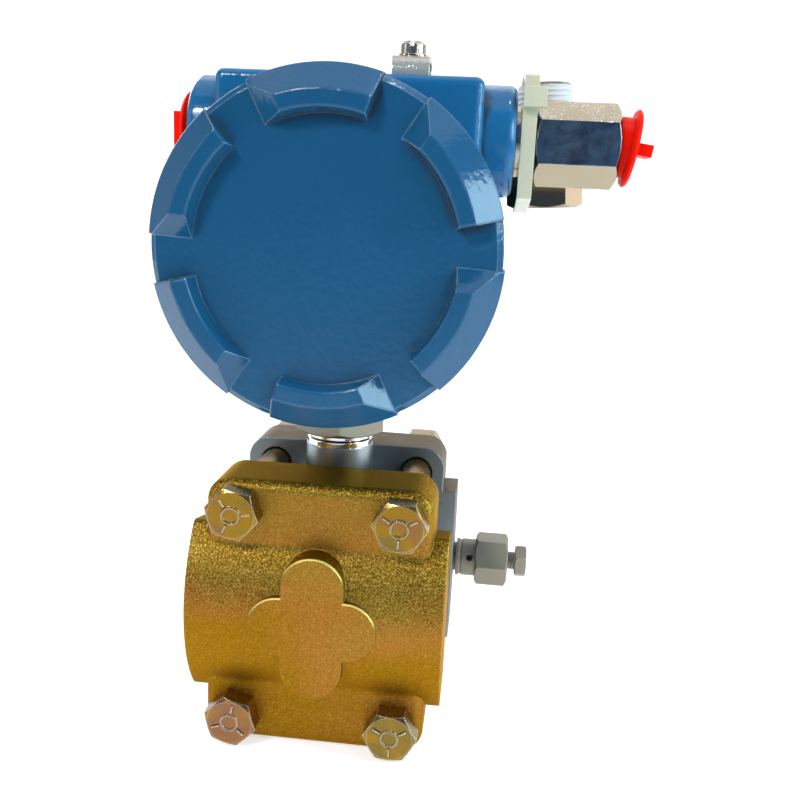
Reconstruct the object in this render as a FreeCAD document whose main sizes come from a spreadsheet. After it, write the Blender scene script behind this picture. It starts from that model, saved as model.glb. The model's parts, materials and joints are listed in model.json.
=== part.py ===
import FreeCAD, Part
import math
import operator
import os
import Sketcher

from FreeCAD import Placement, Rotation, Vector

# Driving dimensions in millimetres, angles in degrees.
# X runs along the conduit hubs, Y away from the front cover, Z up.
# The origin lies under the neck, where the two flanges stand.
SIZES = {
    # Flanges
    "plate_width": "=bolt_span_x + 2 * bolt_edge_x",
    "plate_height": "=bolt_span_z + 2 * bolt_edge_z",
    "plate_thickness": 23,
    "plate_corner": 8,
    "plate_edge_round": 3.5,
    "bulge_length": 86,
    "bulge_height": 60.4,
    "bulge_radius": 46,
    "bulge_edge_round": 3,
    "bulge_draft": 3.6,
    "junction_round": 5,
    "pad_lobe_width": 21,
    "pad_height": 50,
    "pad_length": 43,
    "pad_rise": 1.2,
    "pad_round": 0.8,
    "chamber_radius": 20,
    "chamber_depth": 4,
    "port_offset": 27,
    "port_radius": 5.7,
    "port_depth": 17,
    "port_bolt_span": 41.3,
    "port_bolt_radius": 4.95,
    "port_bolt_depth": 16,
    "passage_radius": 2.5,
    # Measuring cell and neck
    "cell_width": 32,
    "cell_radius": 38,
    "cell_edge": 1.5,
    "neck_radius": 12,
    "neck_length": 51.75,
    "ring_radius": 11.7,
    "ring_height": 4.7,
    "neck_thread_radius": 11,
    "diaphragm_radius": 20.5,
    "diaphragm_thickness": 0.5,
    "diaphragm_wave": 0.4,
    "gasket_inner_radius": 25,
    "gasket_width": 3,
    "gasket_depth": 2.4,
    # Flange bolts and nuts
    "bolt_span_x": 54.6,
    "bolt_span_z": 74,
    "bolt_edge_x": 10.5,
    "bolt_edge_z": 9.75,
    "bolt_radius": 5.55,
    "bolt_head_flats": 15.9,
    "bolt_head_height": 7.1,
    "bolt_end": 4,
    "bolt_hole_gap": 0.45,
    "nut_flats": 17.5,
    "nut_height": 9.5,
    # Lock nut
    "lock_nut_flats": 30.2,
    "lock_nut_height": 7.8,
    "lock_nut_turn": 9,
    # Vent valve
    "vent_thread_length": 14,
    "vent_neck_length": 1.2,
    "vent_collar_radius": 7.25,
    "vent_collar_length": 7.6,
    "vent_groove": 0.4,
    "vent_hex_flats": 18,
    "vent_hex_length": 12.7,
    "vent_hole_radius": 1.3,
    "vent_hole_rise": 2.4,
    "stem_radius": 3.3,
    "stem_reach": 3,
    "stem_head_flats": 11.1,
    "stem_head_height": 4.4,
    "stem_seal_section": 0.7,
    # Housing
    "axis_rise": 57.3,
    "barrel_radius": 49,
    "rim_radius": 52.5,
    "rim_width": 6,
    "front_reach": 24,
    "rear_reach": 38,
    "bore_radius": 43.5,
    "seal_chamfer": 4,
    "wall_front": 6,
    "wall_thickness": 4,
    "block_width": 89,
    "block_rise": 56.2,
    "block_front": 10,
    "block_rear": 28,
    "block_round": 3,
    "hub_length": 111,
    "hub_radius": 18.6,
    "hub_cover": 0.2,
    "hub_rise": "=block_rise - hub_radius - hub_cover",
    "hub_offset": 12,
    "hub_round": 3,
    "conduit_radius": 10.6,
    "conduit_depth": 40,
    "boss_radius": 18,
    "socket_depth": 11,
    "wire_hole_radius": 2,
    "wire_hole_offset": 8.6,
    # Covers
    "cover_radius": 54,
    "cover_height": 19,
    "cover_chamfer": 1.8,
    "cover_wall": 4.5,
    "spigot_length": 13,
    "spigot_wall": 4.7,
    "lug_count": 6,
    "lug_angle": 44,
    "lug_turn": 116.9,
    "lug_inner_radius": 40.5,
    "lug_height": 6.5,
    "lug_draft": 1,
    "lug_top_width": 5,
    "lug_round": 0.8,
    "lug_reach": 0.7,
    "lug_shoulder": 1.5,
    "lug_skirt": 13,
    "lug_ramp": 6.8,
    "seal_section": 1,
    # Circuit boards
    "board_radius": 36,
    "board_thickness": 1.6,
    "board_bolt_circle": 31,
    "inner_standoff": 8,
    "outer_standoff": 9,
    "standoff_radius": 3,
    "small_screw_radius": 1.5,
    "small_head_radius": 3,
    "small_head_height": 2.2,
    "can_width": 16,
    "can_height": 8,
    "trimmer_radius": 3,
    "trimmer_height": 6,
    # Terminal block
    "terminal_width": 54,
    "terminal_height": 26,
    "terminal_depth": 13,
    "terminal_drop": 8,
    "terminal_count": 4,
    "terminal_slot_depth": 6,
    "barrier_width": 2.5,
    "ear_width": 8,
    "ear_depth": 5,
    # Conduit adapter and the tied spare plug
    "adapter_thread_length": 16,
    "adapter_neck_radius": 11.5,
    "adapter_clear": 8.3,
    "adapter_flats": 24.7,
    "adapter_hex_length": 28,
    "adapter_socket_depth": 20,
    "adapter_bore_radius": 7.5,
    "spare_flats": 24.7,
    "spare_hex_length": 18,
    "spare_thread_radius": 10,
    "spare_length": 45,
    "spare_drop": 21.5,
    "spare_out": 6.6,
    "spare_tilt": 4,
    "tie_width": 4.8,
    "tie_thickness": 1.2,
    "tie_front_height": 36,
    "tie_head_width": 7.5,
    "tie_head_height": 6.4,
    "tie_head_depth": 5,
    "tie_tail_length": 3.5,
    # Thread protector plugs
    "plug_rim_radius": 13,
    "plug_rim_thickness": 2.2,
    "plug_neck_length": 9,
    "plug_wall": 1.4,
    "plug_tab_length": 12,
    "plug_tab_width": 4,
    "plug_tab_height": 5.6,
    "plug_lift": 1.7,
    "plug_standoff": 3.4,
    "plug_tilt": 8,
    "plug_sag": 0.2,
    # Earth terminal
    "earth_x": 20,
    "earth_clamp_width": 12.2,
    "earth_clamp_depth": 12,
    "earth_clamp_height": 6,
    "earth_sheet": 1.5,
    "earth_washer_radius": 5,
    "earth_washer_thickness": 0.8,
    "earth_head_radius": 4.3,
    "earth_head_height": 4.2,
    "earth_screw_radius": 2.4,
    "earth_screw_depth": 6,
    # Clearances
    "fit_gap": 0.1,
    "turn_gap": 0.2,
    "thread_gap": 0.3,
    "plug_gap": 0.5,
}

# Proportions of a hexagon for one across its flats.
HEX_CORNER = 1 / math.sqrt(3)
HEX_CHAMFER_SLOPE = math.tan(math.radians(30))

# Side, height and tightened turn of each flange bolt, seen from the front.
BOLT_TURNS = [(-1, -1, 15), (-1, 1, 18), (1, -1, 30), (1, 1, 28)]

# How far a cutting or joining outline runs past the surface it meets.
OVERRUN = 1.0

OPERATIONS = {"+": operator.add, "-": operator.sub, "*": operator.mul, "/": operator.truediv}

doc = FreeCAD.newDocument("pressure_transmitter")
sheet = doc.addObject("Spreadsheet::Sheet", "Sizes")
for row, (name, number) in enumerate(SIZES.items(), start=1):
    sheet.set(f"A{row}", name)
    sheet.set(f"B{row}", str(number))
    sheet.setAlias(f"B{row}", name)
doc.recompute()

subparts = []


class Size:
    """A formula of sheet values: its text drives the model, its number is the first guess."""

    def __init__(self, text, number):
        self.text = text
        self.number = number

    def __add__(self, other):
        return combine(self, "+", other)

    def __radd__(self, other):
        return combine(other, "+", self)

    def __sub__(self, other):
        return combine(self, "-", other)

    def __rsub__(self, other):
        return combine(other, "-", self)

    def __mul__(self, other):
        return combine(self, "*", other)

    def __rmul__(self, other):
        return combine(other, "*", self)

    def __truediv__(self, other):
        return combine(self, "/", other)

    def __neg__(self):
        return combine(0, "-", self)


def as_size(value):
    """A plain number as a Size."""
    if isinstance(value, Size):
        return value
    return Size(repr(float(value)), float(value))


def combine(left, sign, right):
    """The Size that a sum, difference, product or quotient of two values gives."""
    left = as_size(left)
    right = as_size(right)
    number = OPERATIONS[sign](left.number, right.number)
    return Size(f"({left.text} {sign} {right.text})", number)


def root(size):
    """The square root of a Size."""
    return Size(f"sqrt({size.text})", math.sqrt(size.number))


def sine(angle):
    """The sine of a Size in degrees."""
    return Size(f"sin({angle.text})", math.sin(math.radians(angle.number)))


def larger(first, second):
    """The larger of two Sizes."""
    return Size(f"max({first.text}; {second.text})", max(first.number, second.number))


def leg(long_side, short_side):
    """The other short side of a right-angled triangle."""
    return root(long_side * long_side - short_side * short_side)


class Sheet:
    """The sheet's values by name, each as a Size."""

    def __getattr__(self, name):
        return Size(f"Sizes.{name}", float(sheet.get(name)))


S = Sheet()


def new_body(label):
    """An empty body that becomes the sub-part of that name."""
    body = doc.addObject("PartDesign::Body", label)
    body.Label = label
    subparts.append(body)
    return body


def new_sketch(body, name, role, offset=0):
    """A sketch on one of the body's origin planes, moved along that plane's normal."""
    sketch = body.newObject("Sketcher::SketchObject", name)
    plane = next(f for f in body.Origin.OriginFeatures if f.Role == role)
    sketch.AttachmentSupport = (plane, "")
    sketch.MapMode = "FlatFace"
    sketch.setExpression("AttachmentOffset.Base.z", as_size(offset).text)
    return sketch


def bind(sketch, kind, size, *where):
    """One dimension of a sketch, bound to its formula."""
    size = as_size(size)
    index = sketch.addConstraint(Sketcher.Constraint(kind, *where, size.number))
    sketch.setExpression(f"Constraints[{index}]", size.text)


def outline(sketch, points, arcs=None):
    """A closed outline through points; arcs holds (radius, side) by the index of the edge's first point.

    An arc's side is 1 where it bends to the right of its chord and -1 where it bends to the left.
    """
    arcs = arcs or {}
    points = [(as_size(x), as_size(y)) for x, y in points]
    spots = [Vector(x.number, y.number, 0) for x, y in points]
    ends = []
    for index, start in enumerate(spots):
        finish = spots[(index + 1) % len(spots)]
        if index in arcs:
            radius, side = arcs[index]
            edge = bent_edge(start, finish, as_size(radius).number, side)
        else:
            edge = Part.LineSegment(start, finish)
        number = sketch.addGeometry(edge, False)
        forward = sketch.Geometry[number].StartPoint.distanceToPoint(start) < 1e-6
        ends.append((number, 1, 2) if forward else (number, 2, 1))
    for index, (number, first, last) in enumerate(ends):
        following, following_first, _ = ends[(index + 1) % len(ends)]
        sketch.addConstraint(Sketcher.Constraint("Coincident", number, last, following, following_first))
    for (x, y), (number, first, _) in zip(points, ends):
        bind(sketch, "DistanceX", x, -1, 1, number, first)
        bind(sketch, "DistanceY", y, -1, 1, number, first)
    for index, (radius, _) in arcs.items():
        bind(sketch, "Radius", radius, ends[index][0])


def bent_edge(start, finish, radius, side):
    """The short arc between two points, bent to one side of the chord and kept anticlockwise."""
    chord = finish - start
    half = chord.Length / 2
    sagitta = radius - math.sqrt(max(radius * radius - half * half, 0))
    across = Vector(chord.y, -chord.x, 0).normalize()
    middle = (start + finish) / 2 + across * (sagitta * side)
    return Part.Arc(start, middle, finish) if side > 0 else Part.Arc(finish, middle, start)


def circle(sketch, x, y, radius):
    """A circle with its centre and radius bound."""
    x, y, radius = as_size(x), as_size(y), as_size(radius)
    centre = Vector(x.number, y.number, 0)
    number = sketch.addGeometry(Part.Circle(centre, Vector(0, 0, 1), radius.number), False)
    bind(sketch, "DistanceX", x, -1, 1, number, 3)
    bind(sketch, "DistanceY", y, -1, 1, number, 3)
    bind(sketch, "Radius", radius, number)


def rectangle(left, bottom, right, top):
    """The corners of an upright rectangle."""
    return [(left, bottom), (right, bottom), (right, top), (left, top)]


def hexagon(flats, corner_up=True):
    """The corners of a hexagon about the origin, with a corner on the upright or on the level axis."""
    half = flats / 2
    reach = flats * HEX_CORNER
    upright = [
        (0, reach), (-half, reach / 2), (-half, -reach / 2),
        (0, -reach), (half, -reach / 2), (half, reach / 2),
    ]
    return upright if corner_up else [(y, -as_size(x)) for x, y in upright]


def extrude(body, kind, sketch, length, back=False, both=False):
    """A pad or pocket of that length, to the other side of the sketch or to both if asked."""
    feature = body.newObject(f"PartDesign::{kind}", f"{sketch.Name}_{kind.lower()}")
    feature.Profile = sketch
    feature.Reversed = back
    if both:
        feature.SideType = "Symmetric"
    feature.setExpression("Length", as_size(length).text)
    settle(body, feature, kind == "Pocket")
    return feature


def spin(body, kind, sketch, axis="V_Axis", angle=360, back=False):
    """A revolution or groove about one of the sketch's axes."""
    feature = body.newObject(f"PartDesign::{kind}", f"{sketch.Name}_{kind.lower()}")
    feature.Profile = sketch
    feature.ReferenceAxis = (sketch, [axis])
    feature.setExpression("Angle", as_size(angle).text)
    feature.Reversed = back
    settle(body, feature, kind == "Groove")
    return feature


def settle(body, feature, cuts):
    """Recompute, and stop where a feature changed nothing or went the wrong way."""
    base = feature.BaseFeature
    before = base.Shape.Volume if base else 0
    doc.recompute()
    change = feature.Shape.Volume - before
    if (change >= 0) == cuts:
        raise RuntimeError(f"{body.Label}: {feature.Name} changed the volume by {change:.3f}")


def soften(body, feature, radius, wanted, kind="Fillet"):
    """A fillet or chamfer on each edge of the feature that the test picks."""
    names = [f"Edge{i}" for i, edge in enumerate(feature.Shape.Edges, start=1) if wanted(edge)]
    if not names:
        raise RuntimeError(f"{body.Label}: no edge to soften on {feature.Name}")
    soft = body.newObject(f"PartDesign::{kind}", f"{feature.Name}_{kind.lower()}")
    soft.Base = (feature, names)
    soft.setExpression("Radius" if kind == "Fillet" else "Size", as_size(radius).text)
    doc.recompute()
    return soft


def lies_at(axis, size):
    """A test for edges whose points all lie at one place along an axis."""
    number = as_size(size).number

    def wanted(edge):
        ends = [edge.valueAt(edge.FirstParameter), edge.valueAt(edge.LastParameter)]
        middle = edge.valueAt((edge.FirstParameter + edge.LastParameter) / 2)
        return all(abs(getattr(point, axis) - number) < 1e-4 for point in ends + [middle])

    return wanted


def place(thing, x=0, y=0, z=0, turn=None):
    """Set where a sub-part stands; its position stays bound."""
    thing.Placement = Placement(Vector(), turn or Rotation())
    for axis, size in zip("xyz", (x, y, z)):
        thing.setExpression(f"Placement.Base.{axis}", as_size(size).text)


def turned(body, name, profile, arcs=None, kind="Revolution"):
    """Turn a profile of (radius, height) points about the body's upright axis."""
    sketch = new_sketch(body, name, "XZ_Plane")
    outline(sketch, profile, arcs)
    return spin(body, kind, sketch)


def chamfer_hexagon(body, name, flats, top, down=False):
    """Turn the corners off one end of a hexagon."""
    corner = flats * HEX_CORNER + OVERRUN
    flat = flats / 2 * 0.97
    drop = (corner - flat) * HEX_CHAMFER_SLOPE
    near = top + drop if down else top - drop
    past = top - OVERRUN if down else top + OVERRUN
    return turned(body, name, [(flat, top), (corner, near), (corner, past), (flat, past)], kind="Groove")


def prototype(label):
    """A body that is only copied, not handed on by itself."""
    body = new_body(label)
    subparts.remove(body)
    return body


def group(label, copies):
    """Separate solids under one name, from pairs of a prototype and where it goes."""
    doc.recompute()
    shapes = []
    for body, placement in copies:
        shape = body.Shape.copy()
        shape.Placement = placement
        shapes.append(shape)
    feature = doc.addObject("Part::Feature", label)
    feature.Label = label
    feature.Shape = Part.makeCompound(shapes)
    subparts.append(feature)
    return feature


# Heights and places that several sub-parts share.
cell_axis = S.plate_height / 2
flange_face = S.cell_width / 2
plate_face = flange_face + S.plate_thickness
ring_foot = cell_axis + S.neck_length
nut_foot = ring_foot + S.ring_height
boss_foot = nut_foot + S.lock_nut_height + S.turn_gap
cover_axis = boss_foot + S.axis_rise
hub_axis = cover_axis + S.hub_rise
hub_end = S.hub_length / 2
hexagon_foot = larger(S.cover_radius + S.adapter_clear, hub_end + S.tie_width + S.plug_gap)
block_top = cover_axis + S.block_rise
wall_rear = S.wall_thickness - S.wall_front
spigot_radius = S.bore_radius - S.thread_gap
socket_radius = S.neck_thread_radius + S.turn_gap
neck_top = S.neck_length + S.ring_height + S.lock_nut_height + S.socket_depth - S.turn_gap

OUT_FRONT = Rotation(Vector(1, 0, 0), 90)
OUT_REAR = Rotation(Vector(0, 0, 1), 180) * OUT_FRONT
OUT_RIGHT = Rotation(Vector(0, 1, 0), 90)
OUT_LEFT = Rotation(Vector(0, 1, 0), -90)
HALF_TURN = Rotation(Vector(0, 0, 1), 180)


def make_sensor_module():
    """The measuring cell, a short drum, with the neck that is welded to its rim."""
    body = new_body("sensor_module")
    drum = new_sketch(body, "drum", "XY_Plane")
    edge = S.cell_radius - S.cell_edge
    inset = flange_face - S.cell_edge
    seat_radius = S.diaphragm_radius + S.fit_gap
    seat = flange_face - S.diaphragm_thickness - S.diaphragm_wave - 2 * S.fit_gap
    outline(drum, [
        (0, -seat), (seat_radius, -seat), (seat_radius, -flange_face), (edge, -flange_face),
        (S.cell_radius, -inset), (S.cell_radius, inset), (edge, flange_face),
        (seat_radius, flange_face), (seat_radius, seat), (0, seat),
    ])
    spin(body, "Revolution", drum)
    ring_top = S.neck_length + S.ring_height
    step = S.ring_height * 0.45
    lip = (S.neck_radius - S.ring_radius) * 2
    turned(body, "neck", [
        (0, S.cell_radius / 2), (S.neck_radius, S.cell_radius / 2), (S.neck_radius, S.neck_length),
        (S.ring_radius, S.neck_length), (S.ring_radius, S.neck_length + step),
        (S.ring_radius - lip, S.neck_length + step + lip), (S.ring_radius - lip, ring_top),
        (S.neck_thread_radius, ring_top), (S.neck_thread_radius, neck_top), (0, neck_top),
    ])
    place(body, z=cell_axis)


def make_diaphragm(label, turn):
    """A thin corrugated disc that lies in its seat on the cell, waves outward."""
    body = new_body(label)
    foot = -S.diaphragm_thickness - S.diaphragm_wave - 2 * S.fit_gap
    low = foot
    high = foot + S.diaphragm_wave
    stops = [(1.0, low), (0.8, low), (0.7, high), (0.6, low), (0.5, high), (0.4, low), (0.0, low)]
    under = [(S.diaphragm_radius * share, level) for share, level in stops]
    over = [(radius, level + S.diaphragm_thickness) for radius, level in reversed(under)]
    turned(body, "waves", under + over)
    place(body, y=flange_face if turn is OUT_REAR else -flange_face, z=cell_axis, turn=turn)


def make_gasket(label, turn):
    """The flat ring that seals the cell's face in the flange's groove."""
    body = new_body(label)
    outer = S.gasket_inner_radius + S.gasket_width
    turned(body, "ring", rectangle(S.gasket_inner_radius, 0, outer, S.gasket_depth))
    place(body, y=flange_face if turn is OUT_REAR else -flange_face, z=cell_axis, turn=turn)


def stadium(width, length, upright):
    """An outline with straight sides and round ends, and its four quarter arcs."""
    half = width / 2
    straight = (length - width) / 2
    points = [
        (half, -straight), (half, straight), (0, length / 2),
        (-half, straight), (-half, -straight), (0, -length / 2),
    ]
    arcs = {1: (half, 1), 2: (half, 1), 4: (half, 1), 5: (half, 1)}
    if not upright:
        points = [(y, -as_size(x)) for x, y in points]
    return points, arcs


def make_flange(label, draft):
    """A cast flange: a rounded plate, the bulge across it and a cross-shaped pad on the crest."""
    body = new_body(label)
    make_plate(body)
    make_bulge(body, draft)
    for name, length, upright in (("tall_lobes", S.pad_height, True), ("long_lobes", S.pad_length, False)):
        lobes = new_sketch(body, name, "XZ_Plane", plate_face - OVERRUN)
        outline(lobes, *stadium(S.pad_lobe_width, length, upright))
        pad = extrude(body, "Pad", lobes, S.bulge_radius + S.pad_rise - plate_face + OVERRUN)
    soften(body, pad, S.pad_round, lies_at("y", -(S.bulge_radius + S.pad_rise)))
    holes = new_sketch(body, "bolt_holes", "XZ_Plane", flange_face)
    for side_x in (-1, 1):
        for side_z in (-1, 1):
            hole_radius = S.bolt_radius + S.bolt_hole_gap
            circle(holes, S.bolt_span_x / 2 * side_x, S.bolt_span_z / 2 * side_z, hole_radius)
    extrude(body, "Pocket", holes, S.plate_thickness + S.bulge_radius, back=True)
    groove = new_sketch(body, "gasket_groove", "XZ_Plane", flange_face)
    circle(groove, 0, 0, S.gasket_inner_radius - S.fit_gap)
    circle(groove, 0, 0, S.gasket_inner_radius + S.gasket_width + S.fit_gap)
    extrude(body, "Pocket", groove, S.gasket_depth, back=True)
    chamber = new_sketch(body, "chamber", "XZ_Plane", flange_face)
    circle(chamber, 0, 0, S.chamber_radius)
    extrude(body, "Pocket", chamber, S.chamber_depth, back=True)
    return body


def make_plate(body):
    """The plate with round corners and a rounded outer edge."""
    plate = new_sketch(body, "plate", "XZ_Plane", flange_face)
    outline(plate, rectangle(-S.plate_width / 2, -S.plate_height / 2, S.plate_width / 2, S.plate_height / 2))
    block = extrude(body, "Pad", plate, S.plate_thickness)
    corner = (S.plate_width / 2).number

    def upright(edge):
        points = [vertex.Point for vertex in edge.Vertexes]
        return abs(points[0].y - points[-1].y) > 1e-3 and abs(abs(points[0].x) - corner) < 1e-4

    rounded = soften(body, block, S.plate_corner, upright)
    soften(body, rounded, S.plate_edge_round, lies_at("y", -plate_face))


def make_bulge(body, draft):
    """The round-fronted bar across the plate, and the hollow blend where the two meet."""
    half = S.bulge_height / 2
    back = half - draft
    inner = S.bulge_radius - S.bulge_edge_round
    low = half - S.bulge_edge_round
    depth = leg(inner, low)
    stretch = S.bulge_radius / inner
    bar = new_sketch(body, "bulge", "YZ_Plane")
    outline(bar, [
        (-flange_face, back), (-depth, half), (-depth * stretch, low * stretch),
        (-depth * stretch, -low * stretch), (-depth, -half), (-flange_face, -back),
    ], {1: (S.bulge_edge_round, 1), 2: (S.bulge_radius, 1), 3: (S.bulge_edge_round, 1)})
    extrude(body, "Pad", bar, S.bulge_length, both=True)
    reach = S.bulge_radius + S.junction_round
    level = plate_face + S.junction_round
    rise = leg(reach, level)
    share = S.bulge_radius / reach
    for name, up in (("upper_blend", 1), ("lower_blend", -1)):
        blend = new_sketch(body, name, "YZ_Plane")
        outline(blend, [
            (-plate_face, rise * up), (-level * share, rise * share * up),
            (-plate_face + OVERRUN, rise * share * up), (-plate_face + OVERRUN, rise * up),
        ], {0: (S.junction_round, -up)})
        extrude(body, "Pad", blend, S.plate_width - 2 * S.plate_edge_round, both=True)


def make_flanges():
    """The blank flange in front and, turned about, the process flange with its ports behind."""
    front = make_flange("front_flange", S.bulge_draft)
    place(front, z=cell_axis)
    rear = make_flange("rear_flange", 0)
    end = S.bulge_length / 2
    passage = new_sketch(rear, "passage", "YZ_Plane")
    circle(passage, -S.port_offset, 0, S.passage_radius)
    extrude(rear, "Pocket", passage, S.bulge_length, both=True)
    cross = new_sketch(rear, "cross_passage", "XZ_Plane", flange_face)
    circle(cross, 0, 0, S.passage_radius)
    extrude(rear, "Pocket", cross, S.port_offset - flange_face, back=True)
    port = new_sketch(rear, "process_port", "YZ_Plane", end)
    circle(port, -S.port_offset, 0, S.port_radius)
    extrude(rear, "Pocket", port, S.port_depth)
    taps = new_sketch(rear, "port_bolt_holes", "YZ_Plane", end)
    for side in (-1, 1):
        circle(taps, -S.port_offset, S.port_bolt_span / 2 * side, S.port_bolt_radius)
    extrude(rear, "Pocket", taps, S.port_bolt_depth)
    vent = new_sketch(rear, "vent_port", "YZ_Plane", -end)
    circle(vent, -S.port_offset, 0, S.port_radius)
    extrude(rear, "Pocket", vent, S.vent_thread_length + OVERRUN, back=True)
    place(rear, z=cell_axis, turn=HALF_TURN)


def make_flange_bolts():
    """Four bolts from the front plate, each with a nut behind the rear plate."""
    bolt = prototype("flange_bolt")
    head = new_sketch(bolt, "head", "XY_Plane")
    outline(head, hexagon(S.bolt_head_flats))
    extrude(bolt, "Pad", head, S.bolt_head_height)
    chamfer_hexagon(bolt, "head_edge", S.bolt_head_flats, S.bolt_head_height)
    foot = -2 * plate_face - S.nut_height - S.bolt_end
    tip = S.bolt_radius * 0.8
    turned(bolt, "shank", [
        (0, foot), (tip, foot), (S.bolt_radius, foot + (S.bolt_radius - tip)),
        (S.bolt_radius, OVERRUN), (0, OVERRUN),
    ])
    nut = prototype("flange_nut")
    blank = new_sketch(nut, "nut", "XY_Plane")
    outline(blank, hexagon(S.nut_flats, corner_up=False))
    circle(blank, 0, 0, S.bolt_radius + S.fit_gap)
    extrude(nut, "Pad", blank, S.nut_height)
    chamfer_hexagon(nut, "nut_edge", S.nut_flats, S.nut_height)
    seat = Vector(0, plate_face.number, 0)
    bolts = []
    nuts = []
    for side_x, side_z, degrees in BOLT_TURNS:
        height = cell_axis + S.bolt_span_z / 2 * side_z
        spot = Vector((S.bolt_span_x / 2 * side_x).number, 0, height.number)
        bolts.append((bolt, Placement(spot - seat, OUT_FRONT * Rotation(Vector(0, 0, 1), degrees))))
        nuts.append((nut, Placement(spot + seat, OUT_REAR)))
    group("flange_bolts", bolts)
    group("flange_nuts", nuts)


def make_lock_nut():
    """The thin nut that jams the housing on the neck thread."""
    body = new_body("lock_nut")
    blank = new_sketch(body, "nut", "XY_Plane")
    outline(blank, hexagon(S.lock_nut_flats))
    circle(blank, 0, 0, S.neck_thread_radius + S.fit_gap)
    extrude(body, "Pad", blank, S.lock_nut_height)
    chamfer_hexagon(body, "upper_edge", S.lock_nut_flats, S.lock_nut_height)
    chamfer_hexagon(body, "lower_edge", S.lock_nut_flats, as_size(0), down=True)
    place(body, z=nut_foot, turn=Rotation(Vector(0, 0, 1), S.lock_nut_turn.number))


def make_vent_valve():
    """The vent valve in the process flange's end: body, packing ring and stem."""
    collar_foot = S.vent_neck_length
    hex_foot = collar_foot + S.vent_collar_length
    hex_top = hex_foot + S.vent_hex_length
    thread = S.port_radius - S.fit_gap
    bore = S.stem_radius + S.thread_gap
    seat = S.vent_neck_length
    groove_top = collar_foot + S.vent_collar_length * 0.3
    groove_foot = collar_foot + S.vent_collar_length * 0.18
    groove = S.vent_collar_radius - S.vent_groove
    body = new_body("vent_valve_body")
    turned(body, "collar", [
        (0, -S.vent_thread_length), (thread - OVERRUN, -S.vent_thread_length), (thread, 0),
        (thread, collar_foot), (S.vent_collar_radius, collar_foot), (S.vent_collar_radius, groove_foot),
        (groove, groove_foot), (groove, groove_top), (S.vent_collar_radius, groove_top),
        (S.vent_collar_radius, hex_foot + OVERRUN), (0, hex_foot + OVERRUN),
    ])
    block = new_sketch(body, "hexagon", "XY_Plane", hex_foot)
    outline(block, hexagon(S.vent_hex_flats))
    extrude(body, "Pad", block, S.vent_hex_length)
    chamfer_hexagon(body, "outer_edge", S.vent_hex_flats, hex_top)
    chamfer_hexagon(body, "inner_edge", S.vent_hex_flats, hex_foot, down=True)
    seal_level = hex_foot + S.vent_hex_length * 0.6
    seal_radius = S.stem_radius + S.thread_gap + S.stem_seal_section
    gland = S.stem_seal_section + S.turn_gap
    turned(body, "stem_bore", [
        (0, seat), (bore, seat), (bore, seal_level - gland), (seal_radius + gland, seal_level - gland),
        (seal_radius + gland, seal_level + gland), (bore, seal_level + gland), (bore, hex_top + OVERRUN),
        (0, hex_top + OVERRUN),
    ], kind="Groove")
    hole = new_sketch(body, "vent_hole", "XZ_Plane")
    circle(hole, -S.vent_hole_rise, hex_foot - S.vent_hole_radius - OVERRUN, S.vent_hole_radius)
    extrude(body, "Pocket", hole, S.vent_collar_radius + OVERRUN, back=True)
    spot = (S.bulge_length / 2, S.port_offset, cell_axis)
    place(body, *spot, turn=OUT_RIGHT)

    ring = doc.addObject("Part::Torus", "vent_stem_seal")
    ring.setExpression("Radius1", seal_radius.text)
    ring.setExpression("Radius2", S.stem_seal_section.text)
    subparts.append(ring)
    place(ring, spot[0] + seal_level, spot[1], spot[2], turn=OUT_RIGHT)

    stem = new_body("vent_stem")
    head_foot = hex_top + S.stem_reach
    tip = seat + S.thread_gap
    turned(stem, "shank", [
        (0, tip), (S.stem_radius, tip + S.stem_radius), (S.stem_radius, head_foot + OVERRUN),
        (0, head_foot + OVERRUN),
    ])
    head = new_sketch(stem, "head", "XY_Plane", head_foot)
    outline(head, hexagon(S.stem_head_flats, corner_up=False))
    extrude(stem, "Pad", head, S.stem_head_height)
    chamfer_hexagon(stem, "outer_edge", S.stem_head_flats, head_foot + S.stem_head_height)
    chamfer_hexagon(stem, "inner_edge", S.stem_head_flats, head_foot, down=True)
    place(stem, *spot, turn=OUT_RIGHT)


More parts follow.
